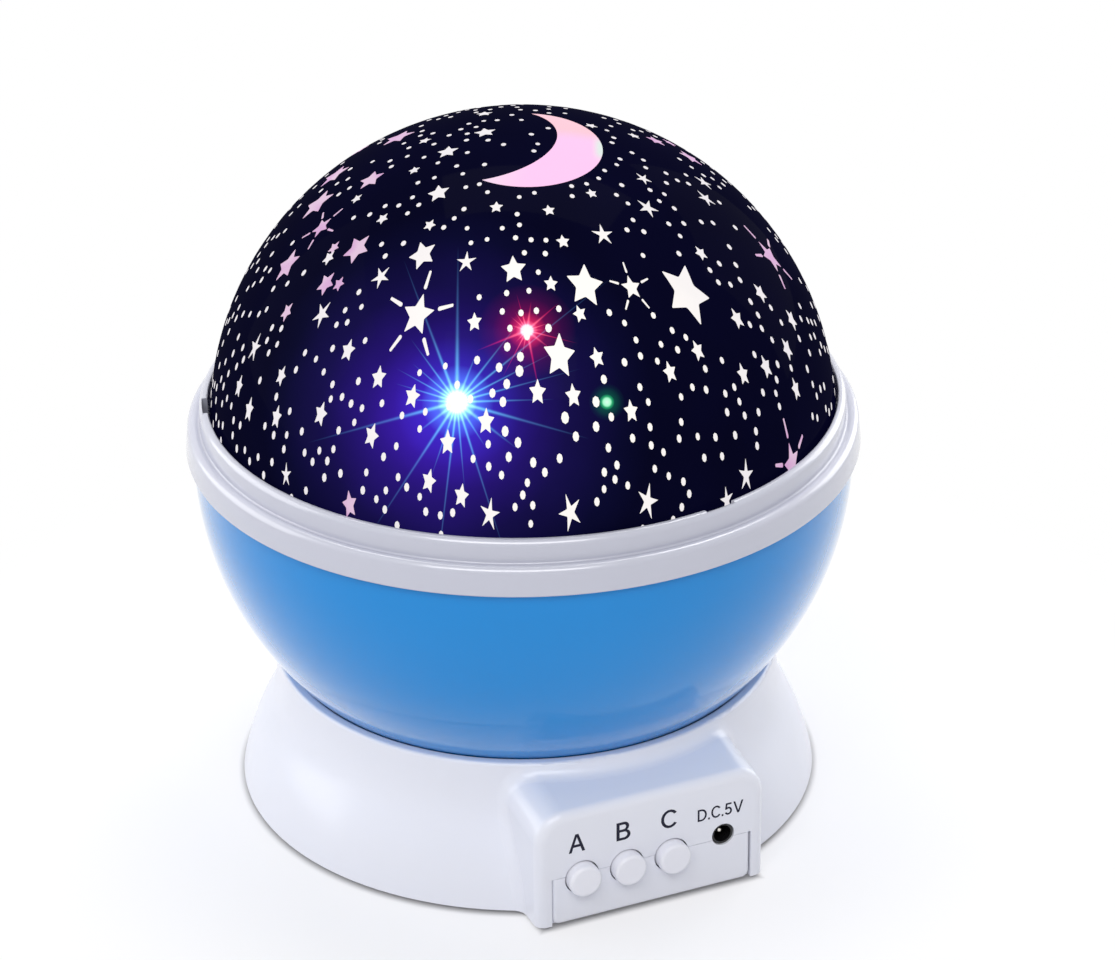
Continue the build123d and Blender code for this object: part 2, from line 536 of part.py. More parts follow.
def box_block():
    """Outside of the control box, run back into the skirt, with its rounded shoulders."""
    back_y = 10.0 - NECK_R
    side = Polyline((BOX_FACE_Y, FOOT_LIFT), (BOX_FACE_Y, BOX_TOP_FRONT_Z), (back_y - 4, BOX_TOP_BACK_Z + 0.7),
                    (back_y, BOX_TOP_BACK_Z + 0.7), (back_y, FOOT_LIFT), close=True)
    block = extrude(Plane.YZ * make_face(side), BOX_HALF_WIDTH, both=True)
    along = block.edges().filter_by(Axis.X, reverse=True).filter_by(lambda e: abs(e.center().X) > 20)
    shoulders = along.filter_by(lambda e: e.center().Z > BOX_TOP_FRONT_Z - 0.1 and e.length > 5)
    return fillet(shoulders, 6.0)


def blended(skirt, block):
    """The skirt with the box grown out of it: a hollow blend where they meet, a round edge at the face."""
    shell = skirt + block
    seam = new_edges(skirt, block, combined=shell)
    shell = fillet(seam.filter_by(lambda e: e.center().Z > FOOT_LIFT + 0.1), BOX_BLEND)
    face = shell.faces().filter_by(Axis.Y).sort_by(Axis.Y)[0]
    return fillet(face.edges().filter_by(lambda e: e.center().Z > FOOT_LIFT + 2), BOX_EDGE_R)


def make_base_shell():
    """Bell-shaped housing: skirt, seat for the globe, well with its deck and spindle, control box."""
    rim_r = NECK_R - 0.7
    skirt = spun(skirt_edge(0, SKIRT_TOP_Z),
                 Line((NECK_R, SKIRT_TOP_Z), (NECK_R, SEAT_Z - 0.7)),
                 ThreePointArc((NECK_R, SEAT_Z - 0.7), (NECK_R - 0.2, SEAT_Z - 0.2), (rim_r, SEAT_Z)),
                 Polyline((rim_r, SEAT_Z), (0, SEAT_Z), (0, FOOT_LIFT), (SKIRT_R, FOOT_LIFT)))
    shell = blended(skirt, box_block())

    # seat and well that the bowl stands in
    half_z = (SEAT_Z + DISH_TOP_Z) / 2
    half_r = sphere_radius(BOWL_R + BOWL_GAP, BOWL_CENTRE_Z, half_z)
    shell -= spun(ThreePointArc((SEAT_R, SEAT_Z), (half_r, half_z), (DISH_R, DISH_TOP_Z)),
                  Polyline((DISH_R, DISH_TOP_Z), (DISH_R, DECK_TOP_Z), (0, DECK_TOP_Z), (0, SEAT_Z + 2),
                           (SEAT_R, SEAT_Z + 2), (SEAT_R, SEAT_Z)))

    # room under the deck
    cap_z = SEAT_Z - 4.9
    dish_under = sphere_radius(BOWL_R + BOWL_GAP + BASE_WALL, BOWL_CENTRE_Z, cap_z)
    inner_low = SKIRT_R - BASE_WALL
    shell -= spun(skirt_edge(BASE_WALL, cap_z),
                  Polyline((NECK_R - BASE_WALL, cap_z), (dish_under, cap_z), (DISH_OUTER_R, cap_z - 1.4),
                           (DISH_OUTER_R, DECK_UNDER_Z), (0, DECK_UNDER_Z), (0, FOOT_LIFT - 1),
                           (inner_low, FOOT_LIFT - 1), (inner_low, FOOT_LIFT)))

    # room in the control box
    room_x = (BOX_SIDE_WALL - BOX_HALF_WIDTH, BOX_HALF_WIDTH - BOX_SIDE_WALL)
    room = slab(room_x, (WALL_BACK_Y, 3.8 - NECK_R), (FOOT_LIFT - 1, BOX_TOP_FRONT_Z - 2.6))
    room = fillet(room.edges().filter_by(Axis.Y).group_by(Axis.Z)[-1], 3.5)
    shell -= room
    shell -= slab(room_x, (WALL_BACK_Y, 10.0 - NECK_R), (FOOT_LIFT - 1, DECK_UNDER_Z - 0.4))
    shell -= slab((-PANEL_HALF_WIDTH - 0.2, PANEL_HALF_WIDTH + 0.2), (BOX_FACE_Y - 1, WALL_BACK_Y + 1),
                  (FOOT_LIFT - 1, PANEL_TOP_Z + 0.1))
    for x in BUTTON_X:
        shell -= rod_y(x, BUTTON_Z, BOX_FACE_Y - 1, WALL_BACK_Y + 1, BUTTON_HOLE_R)
    shell -= rod_y(JACK_X, JACK_Z, BOX_FACE_Y - 1, WALL_BACK_Y + 1, JACK_HOLE_R)

    # spindle and bosses
    shell += rod(0, 0, DECK_TOP_Z - 1, SPINDLE_TOP_Z, SPINDLE_R)
    shell -= rod(0, 0, SPINDLE_TOP_Z - 5, SPINDLE_TOP_Z + 1, 1.2)
    for x, y in COVER_SCREW_AT:
        shell += rod(x, y, COVER_BOSS_Z, DECK_UNDER_Z + 1, COVER_BOSS_R)
        shell -= rod(x, y, COVER_BOSS_Z - 1, DECK_UNDER_Z - 1.5, 1.2)
    for x, y in GEARBOX_SCREW_AT:
        shell += rod(x, y, DECK_UNDER_Z - GEARBOX_BOSS, DECK_UNDER_Z + 0.5, 2.6)
        shell -= rod(x, y, DECK_UNDER_Z - GEARBOX_BOSS - 1, DECK_TOP_Z - 0.8, 1.15)
    shell -= rod(PINION_X, PINION_Y, DECK_UNDER_Z - 1, DECK_TOP_Z + 1, 2.6 + GAP)
    wire_hole = Rot(0, 0, BRUSH_ANGLE) * slab((SLIP_RING_R[0], SLIP_RING_R[-1]), (-8.5, -6.5),
                                              (DECK_UNDER_Z - 1, DECK_TOP_Z + 1))
    return shell - wire_hole


def make_bottom_cover():
    """Floor of the base with the battery well, screw columns and the upstanding front panel."""
    plate = rod(0, 0, FOOT_LIFT, COVER_TOP_Z, COVER_R)
    tongue = slab((-PANEL_HALF_WIDTH, PANEL_HALF_WIDTH), (BOX_FACE_Y + 1, 5.0 - NECK_R), (FOOT_LIFT, COVER_TOP_Z))
    panel = slab((-PANEL_HALF_WIDTH, PANEL_HALF_WIDTH), (BOX_FACE_Y, WALL_BACK_Y), (FOOT_LIFT, PANEL_TOP_Z))
    panel = fillet(panel.edges().filter_by(Axis.Y).group_by(Axis.Z)[0], 1.5)
    face = panel.faces().filter_by(Axis.Y).sort_by(Axis.Y)[0]
    panel = fillet(face.edges().filter_by(lambda e: e.center().Z < FOOT_LIFT + 1.5), 0.8)
    cover = plate + tongue + panel
    x = WELL_HALF_LENGTH + WELL_WALL
    cover += slab((-x, x), (WELL_FRONT_Y - WELL_WALL, WELL_BACK_Y + WELL_WALL),
                  (FOOT_LIFT, WELL_TOP_Z))
    for boss_x, boss_y in DOOR_SCREW_AT:
        cover += rod(boss_x, boss_y, FOOT_LIFT, COVER_TOP_Z + 5.5, 2.8)
    cover -= slab((-WELL_HALF_LENGTH, WELL_HALF_LENGTH), (WELL_FRONT_Y, WELL_BACK_Y),
                  (FOOT_LIFT - 1, WELL_ROOF_Z))
    for peg_x, peg_y in COVER_SCREW_AT:
        cover += rod(peg_x, peg_y, FOOT_LIFT, COVER_BOSS_Z - 0.1, COVER_BOSS_R)
    cover = cover & (rod(0, 0, 0, 40, COVER_R) + tongue + panel)
    for peg_x, peg_y in COVER_SCREW_AT:
        cover -= rod(peg_x, peg_y, FOOT_LIFT - 1, FOOT_LIFT + 3.2, 2.5)
        cover -= rod(peg_x, peg_y, FOOT_LIFT, COVER_BOSS_Z + 1, 1.3)
    for post_x, post_y in BOARD_SCREW_AT:
        cover += rod(post_x, post_y, COVER_TOP_Z - 1, SWITCH_BOARD_Z, 2.2)
        cover -= rod(post_x, post_y, COVER_TOP_Z - 0.6, SWITCH_BOARD_Z + 1, 0.9)
    for post_x, post_y in BOARD_PEG_AT:
        cover += rod(post_x, post_y, COVER_TOP_Z - 1, SWITCH_BOARD_Z, 1.8)
    for hole_x in BUTTON_X:
        cover -= rod_y(hole_x, BUTTON_Z, BOX_FACE_Y - 1, WALL_BACK_Y + 1, BUTTON_HOLE_R)
    cover -= rod_y(JACK_X, JACK_Z, BOX_FACE_Y - 1, WALL_BACK_Y + 1, JACK_HOLE_R)
    for foot_x, foot_y in FOOT_AT:
        cover -= rod(foot_x, foot_y, FOOT_LIFT - 1, FOOT_LIFT + 0.6, FOOT_R + 0.1)
    door_room = slab((-14.0 - 4.2, 14.0 + 4.2), (DOOR_SCREW_AT[0][1] - 4.2, DOOR_Y[0] + 1),
                     (FOOT_LIFT - 1, FOOT_LIFT + DOOR_THICK + 0.2))
    cover -= door_room
    for boss_x, boss_y in DOOR_SCREW_AT:
        cover -= rod(boss_x, boss_y, FOOT_LIFT, COVER_TOP_Z + 4.5, 1.2)
    return cover


def make_battery_door():
    """Lid of the battery well with an ear for its two screws and two tongues at the back."""
    z_span = (FOOT_LIFT, FOOT_LIFT + DOOR_THICK)
    door = slab((-DOOR_HALF, DOOR_HALF), DOOR_Y, z_span)
    door += slab((-14.0 - 4.0, 14.0 + 4.0), (DOOR_SCREW_AT[0][1] - 4.0, DOOR_Y[0] + 1), z_span)
    door = fillet(door.edges().filter_by(Axis.Z), 0.5)
    for x, y in DOOR_SCREW_AT:
        door -= rod(x, y, FOOT_LIFT - 1, FOOT_LIFT + 0.7, 2.5)
        door -= rod(x, y, FOOT_LIFT - 1, FOOT_LIFT + 3, 1.3)
    for k in range(5):
        y = DOOR_Y[0] + 6 + 2.4 * k
        door -= slab((-9, 9), (y, y + 1.1), (FOOT_LIFT - 1, FOOT_LIFT + 0.4))
    return door


def make_cells():
    """Four AAA cells side by side, each with its raised positive cap, turned end for end in pairs."""
    cells = []
    for k, y in enumerate(CELL_Y):
        body = rod_x(y, CELL_Z, -CELL_LENGTH / 2, CELL_LENGTH / 2 - 1.0, CELL_R)
        body = fillet(body.edges().filter_by(GeomType.CIRCLE), 0.5)
        cell = body + rod_x(y, CELL_Z, CELL_LENGTH / 2 - 1.1, CELL_LENGTH / 2, 1.9)
        if k % 2:
            cell = Pos(0, 2 * y, 0) * Rot(0, 0, 180) * cell
        cells.append(cell)
    return Compound(children=cells)


def make_contact_plates():
    """Sprung metal plates at both ends of the well: on each, the stamped pip for a cell's cap."""
    plates = []
    for side in (-1, 1):
        wall = side * (WELL_HALF_LENGTH - 0.3)
        groups = ((0,), (1, 2), (3,)) if side > 0 else ((0, 1), (2, 3))
        for group in groups:
            low = CELL_Y[group[0]] - 4.0
            high = CELL_Y[group[-1]] + 4.0
            plate = slab(sorted((wall, wall - side * 0.4)), (low, high), (CELL_Z - 4.0, CELL_Z + 4.0))
            for k in group:
                if (k % 2 == 0) == (side > 0):
                    pip = sorted((wall - side * 0.4, side * (CELL_LENGTH / 2 + 0.1)))
                    plate += rod_x(CELL_Y[k], CELL_Z, pip[0], pip[1], 1.6)
            plates.append(plate)
    return Compound(children=plates)


def make_contact_springs():
    """Conical springs that press on the flat end of each cell."""
    springs = []
    wire_r = 0.3
    for k, y in enumerate(CELL_Y):
        side = -1 if k % 2 == 0 else 1
        wall = WELL_HALF_LENGTH - 0.7 - wire_r
        tip = CELL_LENGTH / 2 + wire_r + 0.05
        path = Helix(pitch=1.15, height=wall - tip, radius=3.4, cone_angle=-32)
        start = path @ 0
        wire = sweep(Plane(start, z_dir=path % 0) * Circle(wire_r), path)
        springs.append(Pos(side * wall, y, CELL_Z) * Rot(0, -90 * side, 0) * wire)
    return Compound(children=springs)


def make_feet():
    feet = []
    for x, y in FOOT_AT:
        foot = rod(x, y, 0, FOOT_LIFT + 0.6, FOOT_R)
        feet.append(chamfer(foot.edges().group_by(Axis.Z)[0], 0.4))
    return Compound(children=feet)


# ---------------------------------------------------------------- controls
def make_switch_board():
    board = slab((-SWITCH_BOARD_HALF, SWITCH_BOARD_HALF), (SWITCH_BOARD_FRONT_Y, SWITCH_BOARD_BACK_Y),
                 (SWITCH_BOARD_Z, SWITCH_BOARD_TOP_Z))
    board = fillet(board.edges().filter_by(Axis.Z), 1.0)
    for x, y in BOARD_SCREW_AT:
        board -= rod(x, y, SWITCH_BOARD_Z - 1, SWITCH_BOARD_TOP_Z + 1, 1.05)
    return board


def make_switches():
    """Three push switches, each a case open at the front for its plunger."""
    cases = []
    hole = PLUNGER / 2 + 0.1
    for x in BUTTON_X:
        case = slab((x - SWITCH_SIZE / 2, x + SWITCH_SIZE / 2), (SWITCH_Y, SWITCH_Y + SWITCH_LENGTH),
                    (SWITCH_BOARD_TOP_Z, SWITCH_BOARD_TOP_Z + SWITCH_SIZE))
        case = chamfer(case.edges().filter_by(Axis.Y), 0.5)
        case -= slab((x - hole, x + hole), (SWITCH_Y - 1, SWITCH_Y + 4.2), (BUTTON_Z - hole, BUTTON_Z + hole))
        cases.append(case)
    return Compound(children=cases)


def make_plunger(x):
    half = PLUNGER / 2
    return slab((x - half, x + half), (FLANGE_Y - 1.2, SWITCH_Y + 2.5), (BUTTON_Z - half, BUTTON_Z + half))


def make_button(x):
    """Round cap with a flange behind the wall and a square socket for the plunger."""
    front = BOX_FACE_Y - BUTTON_PROUD
    cap = rod_y(x, BUTTON_Z, front, FLANGE_Y + FLANGE_THICK, BUTTON_R)
    cap = fillet(cap.edges().group_by(Axis.Y)[0], 0.7)
    cap += rod_y(x, BUTTON_Z, FLANGE_Y, FLANGE_Y + FLANGE_THICK, FLANGE_R)
    half = PLUNGER / 2 + 0.05
    return cap - slab((x - half, x + half), (FLANGE_Y - 1.2, FLANGE_Y + 2), (BUTTON_Z - half, BUTTON_Z + half))


def make_jack():
    """Barrel jack: a case on the board with a round mouth in the box's wall."""
    case = slab((JACK_X - JACK_HALF, JACK_X + JACK_HALF), (WALL_BACK_Y + GAP, WALL_BACK_Y + 10),
                (SWITCH_BOARD_TOP_Z, JACK_Z + JACK_HALF))
    case = fillet(case.edges().filter_by(Axis.Y).group_by(Axis.Z)[-1], 2.4)
    case += rod_y(JACK_X, JACK_Z, BOX_FACE_Y + 0.35, WALL_BACK_Y + 1, JACK_R)
    return case - rod_y(JACK_X, JACK_Z, BOX_FACE_Y, WALL_BACK_Y + 7.5, JACK_PLUG_R)


def make_jack_pin():
    pin = rod_y(JACK_X, JACK_Z, WALL_BACK_Y + 0.6, WALL_BACK_Y + 7.5, JACK_PIN_R)
    return fillet(pin.edges().group_by(Axis.Y)[0], 0.3)


# ---------------------------------------------------------------- all pieces
def screws(places, **size):
    return Compound(children=[screw(x, y, **size) for x, y in places])


def pieces():
    """Every sub-part by its node's name."""
    nodes = {
        "star_dome": make_dome(),
        "rim_ring": make_rim_ring(),
        "bowl": make_bowl(),
        "reflector_deck": make_lamp_deck(),
        "deck_screws": screws([at(BOSS_CIRCLE_R, a) for a in BOSS_ANGLES],
                              z_seat=LAMP_DECK_Z + LAMP_DECK_THICK, shank=9.0),
        "led_board": make_lamp_board(),
        "led_board_screws": screws([at(LAMP_SCREW_R, a) for a in LAMP_SCREW_ANGLES],
                                   z_seat=LAMP_BOARD_Z + BOARD_THICK, shank=5.0, head_r=1.9),
        "led_white": make_diode(0, 0),
        "turntable": make_turntable(),
        "turntable_screws": screws([at(TURNTABLE_SCREW_R, a) for a in TURNTABLE_SCREW_ANGLES],
                                   z_seat=BOWL_FLOOR_TOP_Z, shank=4.6),
        "slip_ring_board": tube(RING_BOARD_INNER_R, RING_BOARD_R, RING_BOARD_Z, DISC_UNDER_Z),
        "slip_rings": make_slip_rings(),
        "drive_pinion": make_pinion(),
        "motor_shaft": make_motor_shaft(),
        "base_shell": make_base_shell(),
        "bottom_cover": make_bottom_cover(),
        "cover_screws": screws(COVER_SCREW_AT, z_seat=FOOT_LIFT + 3.2, shank=9.0, up=False),
        "rubber_feet": make_feet(),
        "battery_door": make_battery_door(),
        "door_screws": screws(DOOR_SCREW_AT, z_seat=FOOT_LIFT + 0.7, shank=5.0, head=0.6, up=False),
        "battery_cells": make_cells(),
        "contact_plates": make_contact_plates(),
        "contact_springs": make_contact_springs(),
        "gearbox_case": make_gearbox(),
        "gearbox_lid": make_gearbox_lid(),
        "gearbox_screws": screws(GEARBOX_SCREW_AT, z_seat=DECK_UNDER_Z - GEARBOX_BOSS - 2, shank=5.6,
                                 shank_r=1.1, head_r=2.1, up=False),
        "motor_can": make_motor(),
        "motor_cap": make_motor_cap(),
        "brush_holder": make_brush_holder(),
        "brushes": make_brushes(),
        "thrust_washer": tube(SPINDLE_R + 0.1, WASHER_R, DECK_TOP_Z, DECK_TOP_Z + WASHER_THICK),
        "retaining_washer": tube(1.25, WASHER_R, SPINDLE_TOP_Z, SPINDLE_TOP_Z + WASHER_THICK),
        "spindle_screw": screws([(0, 0)], z_seat=SPINDLE_TOP_Z + WASHER_THICK, shank=4.6, head_r=2.6),
        "switch_board": make_switch_board(),
        "board_screws": screws(BOARD_SCREW_AT, z_seat=SWITCH_BOARD_TOP_Z, shank=3.8, shank_r=0.85, head_r=1.8),
        "push_switches": make_switches(),
        "dc_jack": make_jack(),
        "jack_pin": make_jack_pin(),
    }
    for colour, angle in LED_ANGLES.items():
        nodes["led_" + colour] = make_diode(*at(LED_CIRCLE_R, angle))
    for letter, x in zip("abc", BUTTON_X):
        nodes["button_" + letter] = make_button(x)
        nodes["plunger_" + letter] = make_plunger(x)
    return nodes


os.makedirs("parts", exist_ok=True)
for name, shape in pieces().items():
    export_step(shape, "parts/" + name + ".step")
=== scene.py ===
"""Star night light projector: finishes, printed night sky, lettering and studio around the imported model."""

import logging
import math
import random
from dataclasses import dataclass, field
from enum import Enum
from functools import reduce
from typing import Callable, Optional, Union

import bmesh
import bpy
from bmesh.types import BMesh, BMVert
from bpy.types import ColorRamp, Material, Mesh, NodeSocket, NodeTree, Object
from mathutils import Matrix, Vector

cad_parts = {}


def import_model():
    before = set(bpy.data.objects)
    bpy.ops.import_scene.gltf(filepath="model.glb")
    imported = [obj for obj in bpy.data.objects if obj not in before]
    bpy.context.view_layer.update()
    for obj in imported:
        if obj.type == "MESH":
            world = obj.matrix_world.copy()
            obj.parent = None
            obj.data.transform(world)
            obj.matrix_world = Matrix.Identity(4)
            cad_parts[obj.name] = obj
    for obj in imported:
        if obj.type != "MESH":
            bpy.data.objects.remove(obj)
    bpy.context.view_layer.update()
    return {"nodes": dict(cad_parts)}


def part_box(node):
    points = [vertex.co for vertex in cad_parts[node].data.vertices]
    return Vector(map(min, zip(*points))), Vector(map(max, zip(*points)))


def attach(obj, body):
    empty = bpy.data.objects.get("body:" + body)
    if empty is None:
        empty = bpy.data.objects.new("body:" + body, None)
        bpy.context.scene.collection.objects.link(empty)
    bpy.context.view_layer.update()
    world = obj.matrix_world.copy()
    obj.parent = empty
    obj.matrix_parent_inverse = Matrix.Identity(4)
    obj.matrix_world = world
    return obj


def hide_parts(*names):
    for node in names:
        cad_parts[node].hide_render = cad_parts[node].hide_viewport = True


log = logging.getLogger("star_lamp")

MM = 0.001
Pair = tuple[float, float]
Triple = tuple[float, float, float]
Colour = Triple
Stops = tuple[tuple[float, Colour], ...]
Number = Union[float, "Socket"]
WHITE: Colour = (1.0, 1.0, 1.0)
DARK: Colour = (0.0, 0.0, 0.0)


# ---- shading
def operation(kind: str, swapped: bool = False) -> Callable[..., "Socket"]:
    """Makes a method that adds one Math node.

    Args:
        kind: The node's operation.
        swapped: Whether the other value comes first.

    Returns:
        The method.
    """

    def method(self: "Socket", *others: Number) -> "Socket":
        """Joins this value and any others by the operation."""
        values = (*others, self) if swapped else (self, *others)
        return self.nodes.node("ShaderNodeMath", {"operation": kind}, dict(enumerate(values)))

    return method


class Socket:
    """An output socket on which Python arithmetic adds Math nodes."""

    __add__ = operation("ADD")
    __radd__ = operation("ADD", swapped=True)
    __sub__ = operation("SUBTRACT")
    __rsub__ = operation("SUBTRACT", swapped=True)
    __mul__ = operation("MULTIPLY")
    __rmul__ = operation("MULTIPLY", swapped=True)
    __truediv__ = operation("DIVIDE")
    __rtruediv__ = operation("DIVIDE", swapped=True)
    __pow__ = operation("POWER")
    absolute = operation("ABSOLUTE")
    exp = operation("EXPONENT")
    fraction = operation("FRACT")
    most = operation("MAXIMUM")
    root = operation("SQRT")
    rounded = operation("ROUND")
    sine = operation("SINE")
    turn = operation("ARCTAN2")
    wrapped = operation("FLOORED_MODULO")

    def __init__(self, nodes: "Nodes", output: NodeSocket) -> None:
        """Keeps the output and the tree that it belongs to."""
        self.nodes = nodes
        self.output = output

    def __neg__(self) -> "Socket":
        """Minus this value."""
        return self * -1.0

    def clamped(self) -> "Socket":
        """This value kept between 0 and 1."""
        return self.nodes.node("ShaderNodeClamp", {}, {"Value": self})

    def bell(self, width: float) -> "Socket":
        """A soft bump that is 1 where this value is 0 and fades over the given width."""
        scaled = self * (1.0 / width)
        return (-(scaled * scaled)).exp()

    def step(self, low: float, high: float) -> "Socket":
        """A smooth rise from 0 at low to 1 at high, which may be below low."""
        ends = {"Value": self, "From Min": low, "From Max": high}
        return self.nodes.node("ShaderNodeMapRange", {"interpolation_type": "SMOOTHSTEP"}, ends)


class Nodes:
    """Adds nodes to one tree."""

    def __init__(self, tree: NodeTree) -> None:
        """Keeps the tree."""
        self.tree = tree

    def node(
        self, kind: str, settings: Optional[dict] = None, sockets: Optional[dict] = None, output: Union[int, str] = 0
    ) -> Socket:
        """Adds any node.

        Args:
            kind: Node type.
            settings: Properties of the node, or the stops of a ramp, set before its sockets.
            sockets: Values or links by socket name or number.
            output: Which output to return.

        Returns:
            The chosen output.
        """
        made = self.tree.nodes.new(kind)
        for key, value in (settings or {}).items():
            if key == "stops":
                self._set_stops(made.color_ramp, value)
            else:
                setattr(made, key, value)
        for key, value in (sockets or {}).items():
            target = made.inputs[key]
            if isinstance(value, Socket):
                self.tree.links.new(value.output, target)
            elif target.type == "RGBA":
                target.default_value = (*value, 1.0)
            else:
                target.default_value = value
        return Socket(self, made.outputs[output])

    @staticmethod
    def _set_stops(ramp: ColorRamp, stops: Stops) -> None:
        """Sets the stops of a colour ramp.

        Args:
            ramp: The ramp.
            stops: Place from 0 to 1 and colour of each stop.
        """
        while len(ramp.elements) < len(stops):
            ramp.elements.new(1.0)
        for element, (position, colour) in zip(ramp.elements, stops):
            element.position = position
            element.color = (*colour, 1.0)

    def ray(self, *kinds: str) -> Socket:
        """1 for rays of any of the kinds, such as Camera or Glossy."""
        return reduce(Socket.most, (self.node("ShaderNodeLightPath", output=f"Is {kind} Ray") for kind in kinds))


class Paint(Nodes):
    """One node material under construction."""

    def __init__(self, name: str) -> None:
        """Starts an empty material.

        Args:
            name: Its name.
        """
        self.material = bpy.data.materials.new(name)
        self.material.use_nodes = True
        super().__init__(self.material.node_tree)
        self.tree.nodes.clear()
        self.surface = self.tree.nodes.new("ShaderNodeOutputMaterial").inputs["Surface"]

    def place(self) -> Socket:
        """Object coordinates, in metres in the row frame."""
        return self.node("ShaderNodeTexCoord", output="Object")

    def stretched(self, scale: Triple) -> Socket:
        """Object coordinates, scaled along each axis."""
        return self.vector("MULTIPLY", self.place(), scale)

    def away(self, origin: Triple) -> Socket:
        """Vector from a point to the surface, both in millimetres."""
        shifted = self.vector("SUBTRACT", self.place(), tuple(part * MM for part in origin))
        return self.vector("MULTIPLY", shifted, (1.0 / MM,) * 3)

    def length(self, vector: Socket) -> Socket:
        """Length of a vector."""
        return self.vector("LENGTH", vector, output="Value")

    def vector(self, operation: str, *values: object, output: Union[int, str] = 0) -> Socket:
        """Adds one Vector Math node."""
        return self.node("ShaderNodeVectorMath", {"operation": operation}, dict(enumerate(values)), output)

    def axes(self, vector: Socket) -> tuple[Socket, Socket, Socket]:
        """The three parts of a vector."""
        made = self.node("ShaderNodeSeparateXYZ", {}, {0: vector})
        return tuple(Socket(self, output) for output in made.output.node.outputs)

    def noise(self, scale: float, detail: float = 2.0, vector: Optional[Socket] = None, rough: float = 0.5) -> Socket:
        """Noise between 0 and 1 over the object coordinates.

        Args:
            scale: Waves per metre.
            detail: Octaves.
            vector: Other coordinates, where the pattern is stretched or turned.
            rough: Share of each finer octave.

        Returns:
            The noise value.
        """
        sockets = {"Vector": vector or self.place(), "Scale": scale, "Detail": detail, "Roughness": rough}
        return self.node("ShaderNodeTexNoise", {}, sockets)

    def mix(self, share: Number, first: object, second: object, blend: str = "MIX") -> Socket:
        """Mixes two colours.

        Args:
            share: How much of the second, 0 to 1.
            first: Colour or link.
            second: Colour or link.
            blend: Blend type.

        Returns:
            The mixed colour.
        """
        colours = {"data_type": "RGBA", "blend_type": blend}
        return self.node("ShaderNodeMix", colours, {0: share, 6: first, 7: second}, 2)

    def ramp(self, share: Socket, stops: Stops) -> Socket:
        """Colours that run from stop to stop over a share from 0 to 1."""
        return self.node("ShaderNodeValToRGB", {"stops": stops}, {"Fac": share})

    def blend(self, share: Number, first: Socket, second: Socket) -> Socket:
        """Mixes two shaders."""
        return self.node("ShaderNodeMixShader", {}, {0: share, 1: first, 2: second})

    def bump(self, height: Socket, depth: float) -> Socket:
        """A bump that stands up to depth metres where height is 1."""
        return self.node("ShaderNodeBump", {}, {"Height": height, "Distance": depth})

    def end(self, shader: Socket) -> Material:
        """Ends the material in a shader."""
        self.tree.links.new(shader.output, self.surface)
        return self.material

    def shell(self, **sockets: object) -> Material:
        """Ends the material in one Principled shader.

        Args:
            **sockets: Its values or links; underscores stand for spaces.

        Returns:
            The finished material.
        """
        values = {key.replace("_", " "): value for key, value in sockets.items()}
        return self.end(self.node("ShaderNodeBsdfPrincipled", {}, values))

    def window(self, glow: Socket, rough: Socket, strength: float) -> Material:
        """Ends the material as a window of the dome, whose light from behind is painted on as emission, with hardly
        any gloss.

        Args:
            glow: Colour of the painted light from behind.
            rough: Its roughness.
            strength: How bright the painted light is.

        Returns:
            The finished material.
        """
        return self.shell(
            Base_Color=(0.12, 0.12, 0.12),
            Roughness=rough,
            Specular_IOR_Level=0.004,
            Emission_Color=glow,
            Emission_Strength=strength,
        )


# ---- finishes
@dataclass(frozen=True)
class MouldedGloss:
    """Injection-moulded gloss plastic: faint flow shading, a handled sheen and orange peel.

    Attributes:
        name: Material name.
        colour: Its colour.
        shade: Colour of the flow shading.
        rough: Mean roughness.
        coat: Weight of an even clear coat.
        rim: Weight of a clear coat that shows only near the outline, in place of the even one.
        level: Strength of the plastic's own gloss.
        peel: Depth of the orange peel, m.
    """

    name: str
    colour: Colour
    shade: Colour
    rough: float = 0.12
    coat: float = 0.0
    rim: float = 0.0
    level: float = 0.5
    peel: float = 0.000004

    def build(self) -> Material:
        """Builds the material.

        Returns:
            The finished material.
        """
        paint = Paint(self.name)
        flow = paint.noise(26.0, 3.0).step(0.3, 0.75)
        handled = paint.noise(60.0, 2.0).step(0.15, 0.9)
        waves = paint.noise(420.0, 2.0) + paint.noise(70.0, 1.0) * 2.0
        coat: Number = self.coat
        if self.rim:
            edge = paint.node("ShaderNodeLayerWeight", {}, {"Blend": 0.3}, "Facing")
            coat = edge.step(0.1, 0.7) * self.rim
        return paint.shell(
            Base_Color=paint.mix(flow * 0.5, self.colour, self.shade),
            Roughness=handled * (self.rough * 0.35) + self.rough * 0.82,
            Specular_IOR_Level=self.level,
            Coat_Weight=coat,
            Coat_Roughness=0.03,
            Normal=paint.bump(waves, self.peel),
        )


@dataclass(frozen=True)
class MouldedMatte:
    """Plain moulded plastic with a fine spark-eroded grain."""

    name: str
    colour: Colour
    shade: Colour
    rough: float = 0.5
    grain: float = 0.00002

    def build(self) -> Material:
        """Builds the material.

        Returns:
            The finished material.
        """
        paint = Paint(self.name)
        tone = paint.noise(60.0, 4.0).step(0.3, 0.8)
        colour = paint.mix(tone, self.colour, self.shade)
        fine = paint.noise(2600.0, 2.0)
        rough = fine * 0.12 + (self.rough - 0.06)
        return paint.shell(Base_Color=colour, Roughness=rough, Normal=paint.bump(fine, self.grain))


